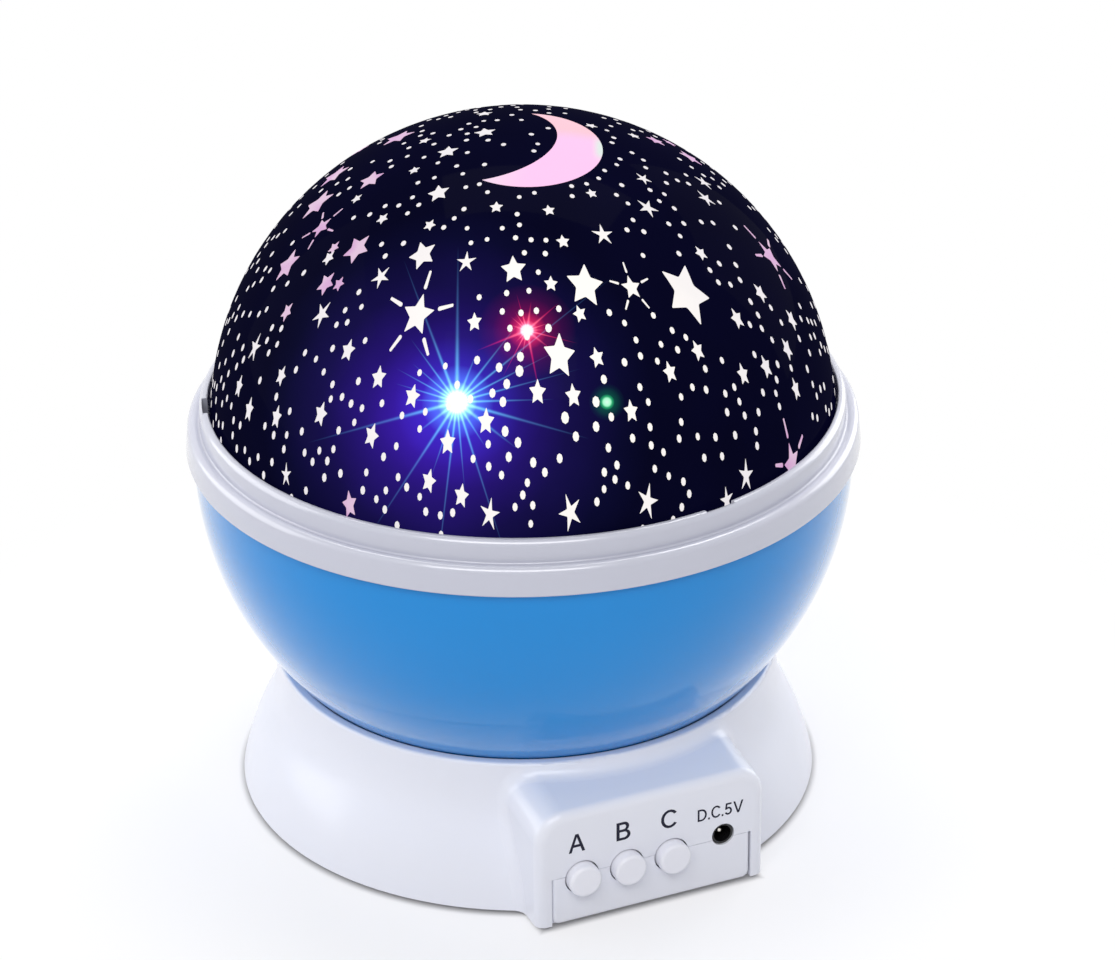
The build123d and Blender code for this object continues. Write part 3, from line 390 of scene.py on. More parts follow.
@dataclass(frozen=True)
class PlatedMetal:
    """Plated or rolled metal: fine lines along one axis, and cloudy tarnish."""

    name: str
    colour: Colour
    tarnish: Colour
    rough: float = 0.25
    grain: Triple = (300.0, 4000.0, 4000.0)

    def build(self) -> Material:
        """Builds the material.

        Returns:
            The finished material.
        """
        paint = Paint(self.name)
        lines = paint.noise(1.0, 2.0, paint.stretched(self.grain))
        cloud = paint.noise(240.0, 4.0, rough=0.6).step(0.45, 0.75)
        colour = paint.mix(cloud * 0.6, self.colour, self.tarnish)
        rough = lines * 0.14 + cloud * 0.12 + (self.rough - 0.07)
        return paint.shell(Base_Color=colour, Metallic=1.0, Roughness=rough, Normal=paint.bump(lines, 0.000006))


@dataclass(frozen=True)
class CircuitBoard:
    """Green solder mask over copper tracks, with bare pads."""

    name: str
    mask: Colour = (0.012, 0.16, 0.055)
    track: Colour = (0.03, 0.27, 0.09)
    pad: Colour = (0.62, 0.6, 0.52)
    pitch: float = 0.0026

    def build(self) -> Material:
        """Builds the material.

        Returns:
            The finished material.
        """
        paint = Paint(self.name)
        across, along, _ = paint.axes(paint.place())
        lane = (across * (1.0 / self.pitch)).fraction() - 0.5
        cross = (along * (1.0 / self.pitch)).fraction() - 0.5
        chosen = paint.noise(180.0, 0.0).step(0.47, 0.5)
        tracks = lane.absolute().step(0.2, 0.14) * chosen
        ways = cross.absolute().step(0.2, 0.14) * (1.0 - chosen)
        distance = (lane * lane + cross * cross).root()
        pads = distance.step(0.24, 0.2) * paint.noise(330.0, 0.0).step(0.56, 0.58)
        copper = (tracks + ways).clamped()
        colour = paint.mix(copper, self.mask, self.track)
        colour = paint.mix(pads, colour, self.pad)
        rough = 0.34 - pads * 0.08 + paint.noise(900.0, 2.0) * 0.06
        height = copper * 0.5 + pads * 0.4
        return paint.shell(Base_Color=colour, Roughness=rough, Normal=paint.bump(height, 0.00004))


@dataclass(frozen=True)
class CellJacket:
    """Printed sleeve of a dry cell: dark, with a copper-coloured end, steel caps and no lettering."""

    name: str
    sleeve: Colour = (0.015, 0.016, 0.02)
    band: Colour = (0.45, 0.2, 0.07)
    steel: Colour = (0.6, 0.6, 0.6)
    half_sleeve: float = 0.0212
    band_from: float = 0.0135

    def build(self) -> Material:
        """Builds the material.

        Returns:
            The finished material.
        """
        paint = Paint(self.name)
        along, _, _ = paint.axes(paint.place())
        far = along.absolute()
        banded = far.step(self.band_from, self.band_from + 0.0002)
        caps = far.step(self.half_sleeve, self.half_sleeve + 0.0001)
        colour = paint.mix(caps, paint.mix(banded, self.sleeve, self.band), self.steel)
        scuff = paint.noise(300.0, 4.0, rough=0.7)
        rough = scuff * 0.2 + 0.16
        metal = (banded * 0.7).most(caps)
        return paint.shell(Base_Color=colour, Metallic=metal, Roughness=rough, Normal=paint.bump(scuff, 0.000008))


@dataclass(frozen=True)
class DiodeLens:
    """Clear tinted epoxy of a diode, brightest round the chip in its middle."""

    name: str
    tint: Colour
    light: Colour
    chip_z: float = 0.0845

    def build(self) -> Material:
        """Builds the material.

        Returns:
            The finished material.
        """
        paint = Paint(self.name)
        _, _, height = paint.axes(paint.place())
        near = (height - self.chip_z).bell(0.003)
        swirl = paint.noise(700.0, 2.0) * 0.2 + 0.8
        glow = paint.mix(near * swirl, tuple(0.15 * part for part in self.light), self.light)
        rough = paint.noise(900.0, 2.0) * 0.08 + 0.06
        return paint.shell(
            Base_Color=self.tint, Roughness=rough, Transmission_Weight=0.7, Emission_Color=glow, Emission_Strength=1.0
        )


@dataclass(frozen=True)
class PaintedBeam:
    """Painted glow and painted glint rays of one lit diode on the print: a core, a halo and thin rays.

    Attributes:
        centre: Place on the dome, mm.
        stops: Ramp of the painted halo's light over reach.
        reach: Radius at which the ramp ends, mm.
        rays: Number of painted glint rays, 0 for none.
        lean: Turn of the first ray, as a share of the step between two.
        shortest: Shortest ray, mm.
        longest: Longest ray, mm.
        width: Half width of a ray at its root, mm.
        ray_stops: Ramp of the rays' light over the longest ray.
        seed: Number that picks the rays' lengths.
    """

    centre: Triple
    stops: Stops
    reach: float
    rays: int = 0
    lean: float = 0.0
    shortest: float = 1.0
    longest: float = 1.0
    width: float = 0.2
    ray_stops: Stops = ()
    seed: float = 0.0


# Painted glows and glint rays of the blue, red and green diodes, and a wide painted blue haze round the blue one.
BLUE_PAINTED_GLOW = PaintedBeam(
    centre=(-31.24, -43.24, 106.99),
    stops=(
        (0.0, WHITE), (0.1, WHITE), (0.15, (0.25, 0.75, 1.0)), (0.23, (0.06, 0.16, 0.8)),
        (0.42, (0.014, 0.012, 0.24)), (0.75, (0.004, 0.002, 0.05)), (1.0, DARK),
    ),
    reach=16.0, rays=23, lean=-0.1, shortest=9.0, longest=42.0, width=0.24, seed=3.0,
    ray_stops=(
        (0.0, (0.5, 1.0, 0.9)), (0.12, (0.12, 0.55, 0.62)), (0.3, (0.06, 0.2, 0.4)), (1.0, (0.02, 0.04, 0.2)),
    ),
)
BLUE_PAINTED_HAZE = PaintedBeam(
    centre=(-35.2, -42.6, 105.2),
    stops=(
        (0.0, (0.04, 0.008, 0.36)), (0.16, (0.036, 0.008, 0.32)), (0.36, (0.018, 0.006, 0.16)),
        (0.6, (0.007, 0.004, 0.06)), (0.85, (0.002, 0.002, 0.02)), (1.0, (0.001, 0.001, 0.01)),
    ),
    reach=40.0,
)
RED_PAINTED_GLOW = PaintedBeam(
    centre=(-16.88, -42.29, 118.0),
    stops=(
        (0.0, (1.0, 0.85, 0.88)), (0.11, (1.0, 0.8, 0.84)), (0.15, (1.0, 0.1, 0.22)), (0.22, (0.6, 0.01, 0.06)),
        (0.4, (0.13, 0.0, 0.025)), (0.7, (0.03, 0.0, 0.01)), (1.0, DARK),
    ),
    reach=9.0, rays=15, lean=0.3, shortest=3.0, longest=13.0, width=0.17, seed=8.0,
    ray_stops=((0.0, (1.0, 0.3, 0.38)), (0.35, (0.8, 0.02, 0.1)), (1.0, (0.25, 0.0, 0.06))),
)
GREEN_PAINTED_GLOW = PaintedBeam(
    centre=(-6.07, -53.38, 106.28),
    stops=(
        (0.0, (0.7, 1.0, 0.8)), (0.2, (0.4, 1.0, 0.6)), (0.29, (0.02, 0.4, 0.13)), (0.42, (0.0, 0.06, 0.02)),
        (0.8, (0.0, 0.01, 0.005)), (1.0, DARK),
    ),
    reach=3.4,
)


@dataclass(frozen=True)
class InkAndPaintedGlow:
    """Glossy dark print inside a clear shell, with the light of three diodes behind it painted on as glow, halos and
    glint rays.

    Attributes:
        name: Material name.
        right: Direction to the right across the rays, as they are seen.
        rise: Direction upward across them.
        pigment: Colour of the print without light.
        beams: The diodes' painted glows and glint rays.
        bunches: Number of places where a beam's rays stand closer.
        unevenness: Largest shift of a ray there, in steps between two rays.
        tip_share: Width of a ray's tip, as a share of its root.
    """

    name: str
    right: Triple = (0.9207, -0.3902, 0.0)
    rise: Triple = (0.1787, 0.4217, 0.8889)
    pigment: Colour = (0.001, 0.001, 0.005)
    beams: tuple[PaintedBeam, ...] = (BLUE_PAINTED_GLOW, RED_PAINTED_GLOW, GREEN_PAINTED_GLOW)
    bunches: float = 3.0
    unevenness: float = 0.4
    tip_share: float = 0.25

    def _painted_light(self, paint: Paint, beam: PaintedBeam) -> Socket:
        """Painted glow and glint rays of one diode over the dome.

        Args:
            paint: Material under construction.
            beam: The diode's beam.

        Returns:
            The painted light's colour.
        """
        away = paint.away(beam.centre)
        sideways = paint.vector("DOT_PRODUCT", away, self.right, output="Value")
        upward = paint.vector("DOT_PRODUCT", away, self.rise, output="Value")
        radius = paint.length(away)
        # Painted halo, coloured by distance from the diode's spot.
        light = paint.ramp(radius * (1.0 / beam.reach), beam.stops)
        if not beam.rays:
            return light
        # Painted glint rays that fan out from the spot.
        angle = sideways.turn(upward)
        uneven = (angle * self.bunches + beam.seed).sine() * self.unevenness
        place = angle * (beam.rays / math.tau) + uneven + beam.lean
        ray = place.rounded()
        number = ray.wrapped(beam.rays) + beam.seed
        picked = paint.node("ShaderNodeTexWhiteNoise", {"noise_dimensions": "1D"}, {"W": number})
        length = picked * picked * (beam.longest - beam.shortest) + beam.shortest
        share = (1.0 - radius / length).clamped()
        beside = (place - ray).absolute() * radius * (math.tau / beam.rays)
        breadth = share * (beam.width * (1.0 - self.tip_share)) + beam.width * self.tip_share
        across = beside / breadth
        line = (-(across * across)).exp() * share**0.8
        shine = paint.ramp(radius * (1.0 / beam.longest), beam.ray_stops)
        rays = paint.mix(line.clamped(), DARK, shine)
        return paint.mix(1.0, light, rays, "ADD")

    def build(self) -> Material:
        """Builds the material.

        Returns:
            The finished material.
        """
        paint = Paint(self.name)
        # Painted blue haze, made patchy by noise, with each diode's painted glow and rays added over it.
        cloud = paint.noise(38.0, 4.0) * 1.1 + 0.45
        shade = paint.node("ShaderNodeCombineColor", {}, {"Red": cloud, "Green": cloud, "Blue": cloud})
        light = paint.mix(1.0, self._painted_light(paint, BLUE_PAINTED_HAZE), shade, "MULTIPLY")
        for beam in self.beams:
            light = paint.mix(1.0, light, self._painted_light(paint, beam), "ADD")
        return paint.shell(
            Base_Color=self.pigment,
            Roughness=paint.noise(60.0, 3.0) * 0.05 + 0.06,
            Specular_IOR_Level=0.0,
            Coat_Weight=0.008,
            Coat_Roughness=0.06,
            Emission_Color=light,
            Emission_Strength=1.0,
            Normal=paint.bump(paint.noise(300.0, 2.0), 0.000004),
        )


@dataclass(frozen=True)
class ClearWindow:
    """Unprinted patch of the dome, where the lit white reflector behind it is painted on as emission, warmer and
    brighter near the lit diodes.
    """

    name: str
    plain: Colour = (0.8, 0.76, 0.79)
    warm: Colour = (1.0, 0.95, 0.89)
    pink: Colour = (0.58, 0.28, 0.56)
    pale_pink: Colour = (0.66, 0.43, 0.62)
    shaded: Colour = (0.66, 0.63, 0.68)
    lamp: Triple = (-14.0, -46.0, 110.0)
    lamp_glow_from: float = 52.0
    lamp_glow_full: float = 8.0

    def build(self) -> Material:
        """Builds the material.

        Returns:
            The finished material.
        """
        paint = Paint(self.name)
        tint = paint.node("ShaderNodeAttribute", {"attribute_name": "tint"}, output="Fac")
        # Painted pool of warmer, brighter light on the windows near the lit diodes.
        near = paint.length(paint.away(self.lamp)).step(self.lamp_glow_from, self.lamp_glow_full)
        drift = paint.noise(130.0, 2.0).step(0.3, 0.7)
        pale = paint.mix(drift * 0.35, self.plain, self.shaded)
        glow = paint.mix(near, pale, self.warm)
        blush = paint.mix(paint.noise(210.0, 1.0).step(0.35, 0.65), self.pink, self.pale_pink)
        glow = paint.mix(tint, glow, blush)
        return paint.window(glow, drift * 0.08 + 0.14, 0.95)


@dataclass(frozen=True)
class MoonWindow:
    """The large crescent: soft pink with a rosy upper horn and a painted bluish-white glint along its right edge,
    glowing by painted emission.
    """

    name: str
    middle: Colour = (0.98, 0.5, 0.84)
    foot: Colour = (0.86, 0.62, 0.8)
    horn: Colour = (0.93, 0.5, 0.6)
    # Colour of the painted glint along the right edge.
    edge: Colour = (0.68, 0.78, 0.74)
    foot_at: Pair = (3.0, -7.0)
    horn_at: Pair = (-4.5, 1.5)
    glint_at: Pair = (13.3, 15.2)
    glint_middle: float = 5.0
    glint_half: Pair = (5.5, 1.5)

    def build(self) -> Material:
        """Builds the material.

        Returns:
            The finished material.
        """
        paint = Paint(self.name)
        across, along, _ = paint.axes(paint.stretched((1.0 / MM,) * 3))
        right = across * 0.92 - along * 0.39
        rise = across * 0.39 + along * 0.92
        drift = paint.noise(70.0, 2.0) * 4.0 - 2.0
        low = (right + drift).step(*self.foot_at)
        high = (rise + drift).step(*self.horn_at)
        # Painted glint: pale bluish colour along the right edge.
        side = (right + drift * 0.3).step(*self.glint_at) * (rise + self.glint_middle).absolute().step(*self.glint_half)
        colour = paint.mix(low, self.middle, self.foot)
        colour = paint.mix(high, colour, self.horn)
        colour = paint.mix(side, colour, self.edge)
        return paint.window(colour, paint.noise(130.0, 2.0) * 0.08 + 0.14, 0.92)


@dataclass(frozen=True)
class PadPrint:
    """Thin dark pad-printed ink with slightly uneven cover."""

    name: str
    ink: Colour = (0.012, 0.012, 0.03)
    thin: Colour = (0.035, 0.035, 0.06)

    def build(self) -> Material:
        """Builds the material.

        Returns:
            The finished material.
        """
        paint = Paint(self.name)
        cover = paint.noise(2200.0, 3.0).step(0.5, 0.8)
        colour = paint.mix(cover, self.ink, self.thin)
        return paint.shell(Base_Color=colour, Roughness=cover * 0.15 + 0.3, Specular_IOR_Level=0.15)


class Slot(Enum):
    """Material slots of the record."""

    DOME = "dome_print"
    RING = "ring_white"
    BOWL = "bowl_blue"
    BASE = "base_white"
    BUTTON = "button_white"
    REFLECTOR = "reflector_white"
    INNER = "inner_white"
    NYLON = "gear_nylon"
    BLACK = "black_plastic"
    SWITCH = "switch_grey"
    BOARD = "board_green"
    SCREW = "screw_steel"
    MOTOR = "motor_steel"
    NICKEL = "contact_nickel"
    BRASS = "ring_brass"
    RUBBER = "foot_rubber"
    CELL = "cell_jacket"
    LED_RED = "led_red"
    LED_GREEN = "led_green"
    LED_BLUE = "led_blue"
    LED_WHITE = "led_white"


FINISHES = {
    Slot.DOME: InkAndPaintedGlow("printed night sky and painted glow"),
    Slot.RING: MouldedGloss("rim ring white", (0.51, 0.52, 0.61), (0.49, 0.5, 0.59), rough=0.24, level=1.0, coat=0.6),
    Slot.BOWL: MouldedGloss(
        "bowl blue", (0.001, 0.237, 0.645), (0.001, 0.228, 0.62), rough=0.08, level=0.4, rim=0.75, peel=0.000001
    ),
    Slot.BASE: MouldedGloss("base white", (0.785, 0.795, 0.865), (0.78, 0.79, 0.86), rough=0.24),
    Slot.BUTTON: MouldedGloss("button white", (0.84, 0.84, 0.9), (0.81, 0.81, 0.88), rough=0.32),
    Slot.REFLECTOR: MouldedGloss("reflector white", (0.84, 0.84, 0.86), (0.8, 0.8, 0.83), rough=0.3),
    Slot.INNER: MouldedMatte("inner white", (0.74, 0.74, 0.72), (0.7, 0.7, 0.68)),
    Slot.NYLON: MouldedMatte("gear nylon", (0.78, 0.76, 0.68), (0.73, 0.7, 0.62), rough=0.36),
    Slot.BLACK: MouldedGloss("black plastic", (0.006, 0.006, 0.007), (0.01, 0.01, 0.011), rough=0.16),
    Slot.SWITCH: MouldedMatte("switch grey", (0.12, 0.12, 0.13), (0.09, 0.09, 0.1)),
    Slot.BOARD: CircuitBoard("solder mask"),
    Slot.SCREW: PlatedMetal("screw steel", (0.62, 0.61, 0.58), (0.42, 0.4, 0.36)),
    Slot.MOTOR: PlatedMetal("motor can steel", (0.66, 0.66, 0.65), (0.5, 0.49, 0.47), rough=0.3),
    Slot.NICKEL: PlatedMetal("nickel plate", (0.72, 0.69, 0.63), (0.55, 0.5, 0.43), rough=0.22),
    Slot.BRASS: PlatedMetal("brass", (0.78, 0.56, 0.24), (0.5, 0.3, 0.12), rough=0.24),
    Slot.RUBBER: MouldedMatte("rubber", (0.45, 0.45, 0.47), (0.36, 0.36, 0.38), rough=0.75, grain=0.00005),
    Slot.CELL: CellJacket("cell jacket"),
    Slot.LED_RED: DiodeLens("red lens", (1.0, 0.55, 0.55), (1.0, 0.06, 0.08)),
    Slot.LED_GREEN: DiodeLens("green lens", (0.55, 1.0, 0.65), (0.06, 0.9, 0.3)),
    Slot.LED_BLUE: DiodeLens("blue lens", (0.55, 0.7, 1.0), (0.12, 0.3, 1.0)),
    Slot.LED_WHITE: DiodeLens("white lens", (0.95, 0.95, 0.95), (0.95, 0.92, 0.82)),
}


class Wardrobe:
    """Builds each finish once and dresses the CAD nodes with them."""

    def __init__(self) -> None:
        """Starts with no finish built."""
        self._made: dict[Slot, Material] = {}

    def material(self, slot: Slot) -> Material:
        """The material of a slot, built when it is first asked for.

        Args:
            slot: The slot.

        Returns:
            Its material.
        """
        if slot not in self._made:
            self._made[slot] = FINISHES[slot].build()
        return self._made[slot]

    def dress(self, nodes: dict[str, Object]) -> None:
        """Gives every solid node the finish of the slot that it came with.

        Args:
            nodes: The nodes by name.
        """
        for name, node in sorted(nodes.items()):
            slot = Slot(node.data.materials[0].name.split(".")[0])
            node.data.materials[0] = self.material(slot)
            log.info("%s dressed as %s", name, slot.value)


# ---- helpers
def add_object(mesh: BMesh, name: str, material: Material) -> Object:
    """Turns a finished bmesh into an object of one material.

    Args:
        mesh: The shape, in metres in the row frame.
        name: Name of the object.
        material: Its finish.

    Returns:
        The new object.
    """
    data = bpy.data.meshes.new(name)
    mesh.to_mesh(data)
    mesh.free()
    data.materials.append(material)
    added = bpy.data.objects.new(name, data)
    bpy.context.scene.collection.objects.link(added)
    return added


def add_piece(
    mesh: BMesh, name: str, material: Material, body: str
) -> Object:
    """Turns a finished bmesh into a piece that rides on a body.

    Args:
        mesh: The shape, in millimetres in the row frame.
        name: Piece name.
        material: Its finish.
        body: Body that it rides on.

    Returns:
        The new object.
    """
    bmesh.ops.recalc_face_normals(mesh, faces=mesh.faces[:])
    for vert in mesh.verts:
        vert.co *= MM
    piece = add_object(mesh, name, material)
    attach(piece, body)
    log.info("%s: %d faces on %s", name, len(piece.data.polygons), body)
    return piece


def thicken(mesh: BMesh) -> set[BMVert]:
    """Doubles a sheet into a closed plate and returns the vertices of its new side."""
    grown = bmesh.ops.extrude_face_region(mesh, geom=mesh.faces[:], use_keep_orig=True)
    return {item for item in grown["geom"] if isinstance(item, BMVert)}


def spin_section(mesh: BMesh) -> None:
    """Spins a section that lies beside the axis once round it, in steps of a degree.

    Args:
        mesh: The section as one face, which becomes the ring.
    """
    bmesh.ops.delete(mesh, geom=mesh.faces[:], context="FACES_ONLY")
    bmesh.ops.spin(
        mesh,
        geom=mesh.verts[:] + mesh.edges[:],
        cent=(0, 0, 0),
        axis=(0, 0, 1),
        dvec=(0, 0, 0),
        angle=math.tau,
        steps=360,
        use_merge=True,
        use_duplicate=False,
    )


# ---- night sky
class Kind(Enum):
    """Cuts of star in the print."""

    PLAIN = (0.5, 0.0, False)
    PINK = (0.5, 1.0, False)
    THIN = (0.32, 0.0, False)
    BURST = (0.47, 0.0, True)
    PINK_BURST = (0.47, 1.0, True)

    def __init__(self, waist: float, pink: float, dashed: bool) -> None:
        """Keeps the three parts of the value.

        Args:
            waist: Inner radius as a share of the size.
            pink: Share of pink.
            dashed: Whether dashes stand off its points.
        """
        self.waist = waist
        self.pink = pink
        self.dashed = dashed


@dataclass(frozen=True)
class Mark:
    """One star or dot of the print.

    Attributes:
        azimuth: Degrees round the axis, 0 along +X.
        height: Degrees above the dome's edge.
        size: Distance from the middle to a point, mm.
        turn: Degrees that the first point is turned from straight up, clockwise.
        kind: Cut of the star, None for a dot.
    """

    azimuth: float
    height: float
    size: float
    turn: float = 0.0
    kind: Optional[Kind] = None

    def direction(self) -> Vector:
        """Where the mark lies.

        Returns:
            Unit vector from the dome's centre.
        """
        azimuth, height = math.radians(self.azimuth), math.radians(self.height)
        return Vector(
            (math.cos(azimuth) * math.cos(height), math.sin(azimuth) * math.cos(height), math.sin(height))
        )


STARS = {
    Kind.PLAIN: (
        (98, 78, 1.6), (163, 84, 2.0, -18), (-178, 76, 2.0, 13), (153, 73, 1.2), (-177, 69, 1.1),
        (-152, 67, 2.1, 32), (176, 58, 1.1), (-165, 58, 1.2), (-146, 60, 1.2), (-123, 66, 1.3), (-101, 65, 1.2),
        (-172, 47, 1.3), (-143, 54, 2.6, -39), (-115, 53, 2.4, -5), (-105, 50, 1.3), (-124, 43, 1.4),
        (-152, 34, 1.5), (-143, 31, 1.5), (-167, 25, 1.3), (-135, 29, 1.5), (-2, 76, 1.2), (-7, 68, 1.2),
        (-79, 67, 1.1), (-99, 58, 1.3), (-58, 48, 1.3), (-96, 49, 3.5, 15), (-70, 43, 4.8, 41),
        (-48, 36, 1.5), (-99, 44, 1.3), (-60, 35, 1.5), (-42, 28, 1.5), (-105, 37, 3.0, 8), (-97, 36, 1.4),
        (-74, 33, 1.4), (-49, 25, 1.5), (-82, 31, 1.4), (-58, 25, 1.5), (-65, 26, 1.4), (-51, 18, 1.4),
        (-110, 31, 1.6), (-103, 30, 1.5), (-92, 26, 1.4), (-120, 26, 1.6), (-127, 22, 1.5), (-142, 21, 1.5),
        (-130, 15, 1.4), (-124, 13, 1.4), (-154, 22, 1.5), (-165, 18, 1.4), (-174, 16, 1.5), (180, 18, 1.4),
    ),
    Kind.PINK: (
        (135, 66, 3.2), (170, 62, 2.5, 12), (147, 54, 3.0), (161, 51, 3.3, -52), (-173, 49, 1.2),
        (-165, 51, 2.7, 8), (175, 41, 2.7, -35), (-167, 43, 1.9), (-163, 44, 1.2), (-174, 35, 1.4),
        (-4, 63, 1.9), (-7, 56, 2.4), (-145, 8, 1.6, -16),
    ),
    Kind.THIN: (
        (-152, 48, 1.9, 20), (-129, 54, 1.9, -10), (-163, 38, 2.0, 15), (-179, 26, 1.9), (-49, 65, 1.6),
        (-25, 55, 1.8), (-35, 54, 1.9, 20), (-62, 60, 2.1, -12), (-85, 58, 2.1, 14), (-70, 9, 1.9), (-75, 6, 1.6),
        (-91, 10, 2.1, 20), (-105, 10, 2.2, -20), (-119, 10, 1.9, 10), (-160, 9, 1.4),
    ),
    Kind.BURST: ((-138, 43, 3.1, -3), (-84, 47, 1.9, 8)),
    Kind.PINK_BURST: ((175, 50, 2.0), (-33, 38, 2.6), (-57, 6, 2.6)),
}


@dataclass
class NightSky:
    """The dome's print: windows in the ink as stars, dots and a crescent, each a thin piece of the shell."""

    radius: float = 61.0
    centre_z: float = 77.4
    proud: float = 0.03
    sunk: float = 0.22
    seed: int = 11
    back_stars: int = 46
    back_kinds: tuple[Kind, ...] = (Kind.PLAIN, Kind.PLAIN, Kind.PLAIN, Kind.PINK, Kind.THIN, Kind.BURST)
    back_sizes: tuple[float, ...] = (1.3, 1.4, 1.5, 1.9, 2.1, 2.6, 3.3)
    large_star: float = 1.8
    dash_half_width: float = 0.1
    dash_from: float = 1.3
    dash_length: float = 0.72
    dot_width: float = 0.46
    dot_count: int = 740
    dot_tries: int = 9000
    dot_room: float = 2.35
    lowest: float = 5.2
    highest: float = 88.5
    moon_outer: Triple = (-0.91, -5.47, 14.43)
    moon_inner: Triple = (-8.15, 1.23, 15.25)
    lamp: Triple = (-16.1, -49.8, 108.8)
    lamp_reach: float = 11.0
    lamp_gain: float = 0.7
    placed: list[tuple[Vector, float]] = field(default_factory=list)

    def stretch(self, height: float) -> float:
        """How much longer up the meridian a mark is than it is wide, at that many degrees of height."""
        share = min(max((75.0 - height) / 72.0, 0.0), 1.0)
        return 1.08 + 0.7 * share * share * (3.0 - 2.0 * share)

    # Stencils.
    @staticmethod
    def _disc(segments: int, radius: float = 1.0) -> BMesh:
        """Flat disc round the origin.

        Args:
            segments: Number of its sides.
            radius: Its radius.

        Returns:
            The disc.
        """
        sheet = bmesh.new()
        bmesh.ops.create_circle(sheet, cap_ends=True, segments=segments, radius=radius)
        return sheet

    def star_sheet(self, waist: float, fine: bool) -> Mesh:
        """Flat five-pointed star of size 1 with its first point along +Y.

        Args:
            waist: Inner radius as a share of the size.
            fine: Whether its triangles are divided, for a large star on the curved shell.

        Returns:
            The sheet as a mesh.
        """
        sheet = self._disc(10)
        sheet.verts.ensure_lookup_table()
        first = max(range(10), key=lambda index: sheet.verts[index].co.y)
        for index, vert in enumerate(sheet.verts):
            if (index - first) % 2:
                vert.co *= waist
        bmesh.ops.bevel(
            sheet, geom=sheet.verts[:], offset=0.05, segments=2, profile=0.5, affect="VERTICES", material=-1
        )
        bmesh.ops.poke(sheet, faces=sheet.faces[:])
        if fine:
            bmesh.ops.subdivide_edges(sheet, edges=sheet.edges[:], cuts=1, use_grid_fill=True)
        return self._kept(sheet)

    def dash_sheet(self) -> Mesh:
        """Flat rounded dash above a star's point, in the same unit.

        Returns:
            The dash as a mesh.
        """
        sheet = self._disc(8, self.dash_half_width)
        for vert in sheet.verts:
            vert.co.y += self.dash_from + (self.dash_length if vert.co.y > 0 else 0.0)
        return self._kept(sheet)

    def moon_sheet(self) -> Mesh:
        """Flat crescent between two arcs, seen from above, in millimetres.

        Returns:
            The crescent as a mesh.
        """
        outer_x, outer_y, outer_r = self.moon_outer
        inner_x, inner_y, inner_r = self.moon_inner
        gap = Vector((inner_x - outer_x, inner_y - outer_y))
        shift = (outer_r**2 - inner_r**2 + gap.length**2) / (2 * gap.length)
        half = math.sqrt(outer_r**2 - shift**2)
        middle = Vector((outer_x, outer_y)) + gap.normalized() * shift
        side = Vector((-gap.y, gap.x)).normalized() * half
        tips = (middle - side, middle + side)
        sheet = bmesh.new()
        bmesh.ops.create_grid(sheet, x_segments=44, y_segments=6, size=1.0)
        for vert in sheet.verts:
            along, outward = (vert.co.x + 1) / 2, (vert.co.y + 1) / 2
            inner = self._on_arc(self.moon_inner, tips, along)
            outer = self._on_arc(self.moon_outer, tips, along)
            vert.co = inner.lerp(outer, outward).to_3d()
        bmesh.ops.remove_doubles(sheet, verts=sheet.verts[:], dist=0.02)
        bmesh.ops.recalc_face_normals(sheet, faces=sheet.faces[:])
        return self._kept(sheet)

    @staticmethod
    def _on_arc(circle: Triple, tips: tuple[Vector, Vector], share: float) -> Vector:
        """Point on a circle's lower right arc between the crescent's two tips.

        Args:
            circle: Middle and radius of the circle.
            tips: The crescent's tips.
            share: How far along the arc, 0 to 1.

        Returns:
            The point.
        """
        centre = Vector(circle[:2])
        start, end = (math.atan2(tip.y - centre.y, tip.x - centre.x) for tip in tips)
        if end > start:
            end -= math.tau
        angle = start + (end - start) * share
        return centre + Vector((math.cos(angle), math.sin(angle))) * circle[2]

    @staticmethod
    def _kept(sheet: BMesh) -> Mesh:
        """Stores a sheet so that it can be stamped many times.

        Args:
            sheet: The sheet, which is used up.

        Returns:
            The sheet as a mesh.
        """
        kept = bpy.data.meshes.new("stencil")
        sheet.to_mesh(kept)
        sheet.free()
        return kept

    # Stamping.
    @staticmethod
    def _canvas() -> BMesh:
        """Starts a sheet of stamped marks.

        Returns:
            An empty mesh with a vertex layer "tint".
        """
        mesh = bmesh.new()
        mesh.verts.layers.float.new("tint")
        return mesh

    def stamp(self, mesh: BMesh, sheet: Mesh, mark: Mark, turn: float, tint: float) -> None:
        """Lays one sheet on the shell.

        Args:
            mesh: The growing piece.
            sheet: Flat shape in units of the mark's size.
            mark: Where it goes and how large it is.
            turn: Degrees clockwise from straight up.
            tint: Share of pink, kept in the vertex layer "tint".
        """
        start = len(mesh.verts)
        mesh.from_mesh(sheet)
        layer = mesh.verts.layers.float["tint"]
        out = mark.direction()
        across = Vector((0, 0, 1)).cross(out).normalized()
        upward = out.cross(across)
        stretch = self.stretch(mark.height)
        turned = Matrix.Rotation(-math.radians(turn), 2)
        for vert in mesh.verts[start:]:
            flat = turned @ vert.co.to_2d() * mark.size
            local = out * self.radius + across * flat.x + upward * flat.y * stretch
            vert.co = local.normalized() * self.radius
            vert[layer] = tint

    def finish(self, mesh: BMesh, name: str, material: Material) -> None:
        """Gives the stamped sheets their thickness and makes them a piece on the dome.

        Args:
            mesh: Sheets on the shell's sphere, in millimetres round its centre.
            name: Piece name.
            material: Its finish.
        """
        centre = Vector((0.0, 0.0, self.centre_z))
        outer = thicken(mesh)
        for vert in mesh.verts:
            depth = self.proud if vert in outer else -self.sunk
            vert.co = centre + vert.co.normalized() * (self.radius + depth)
        add_piece(mesh, name, material, "dome")

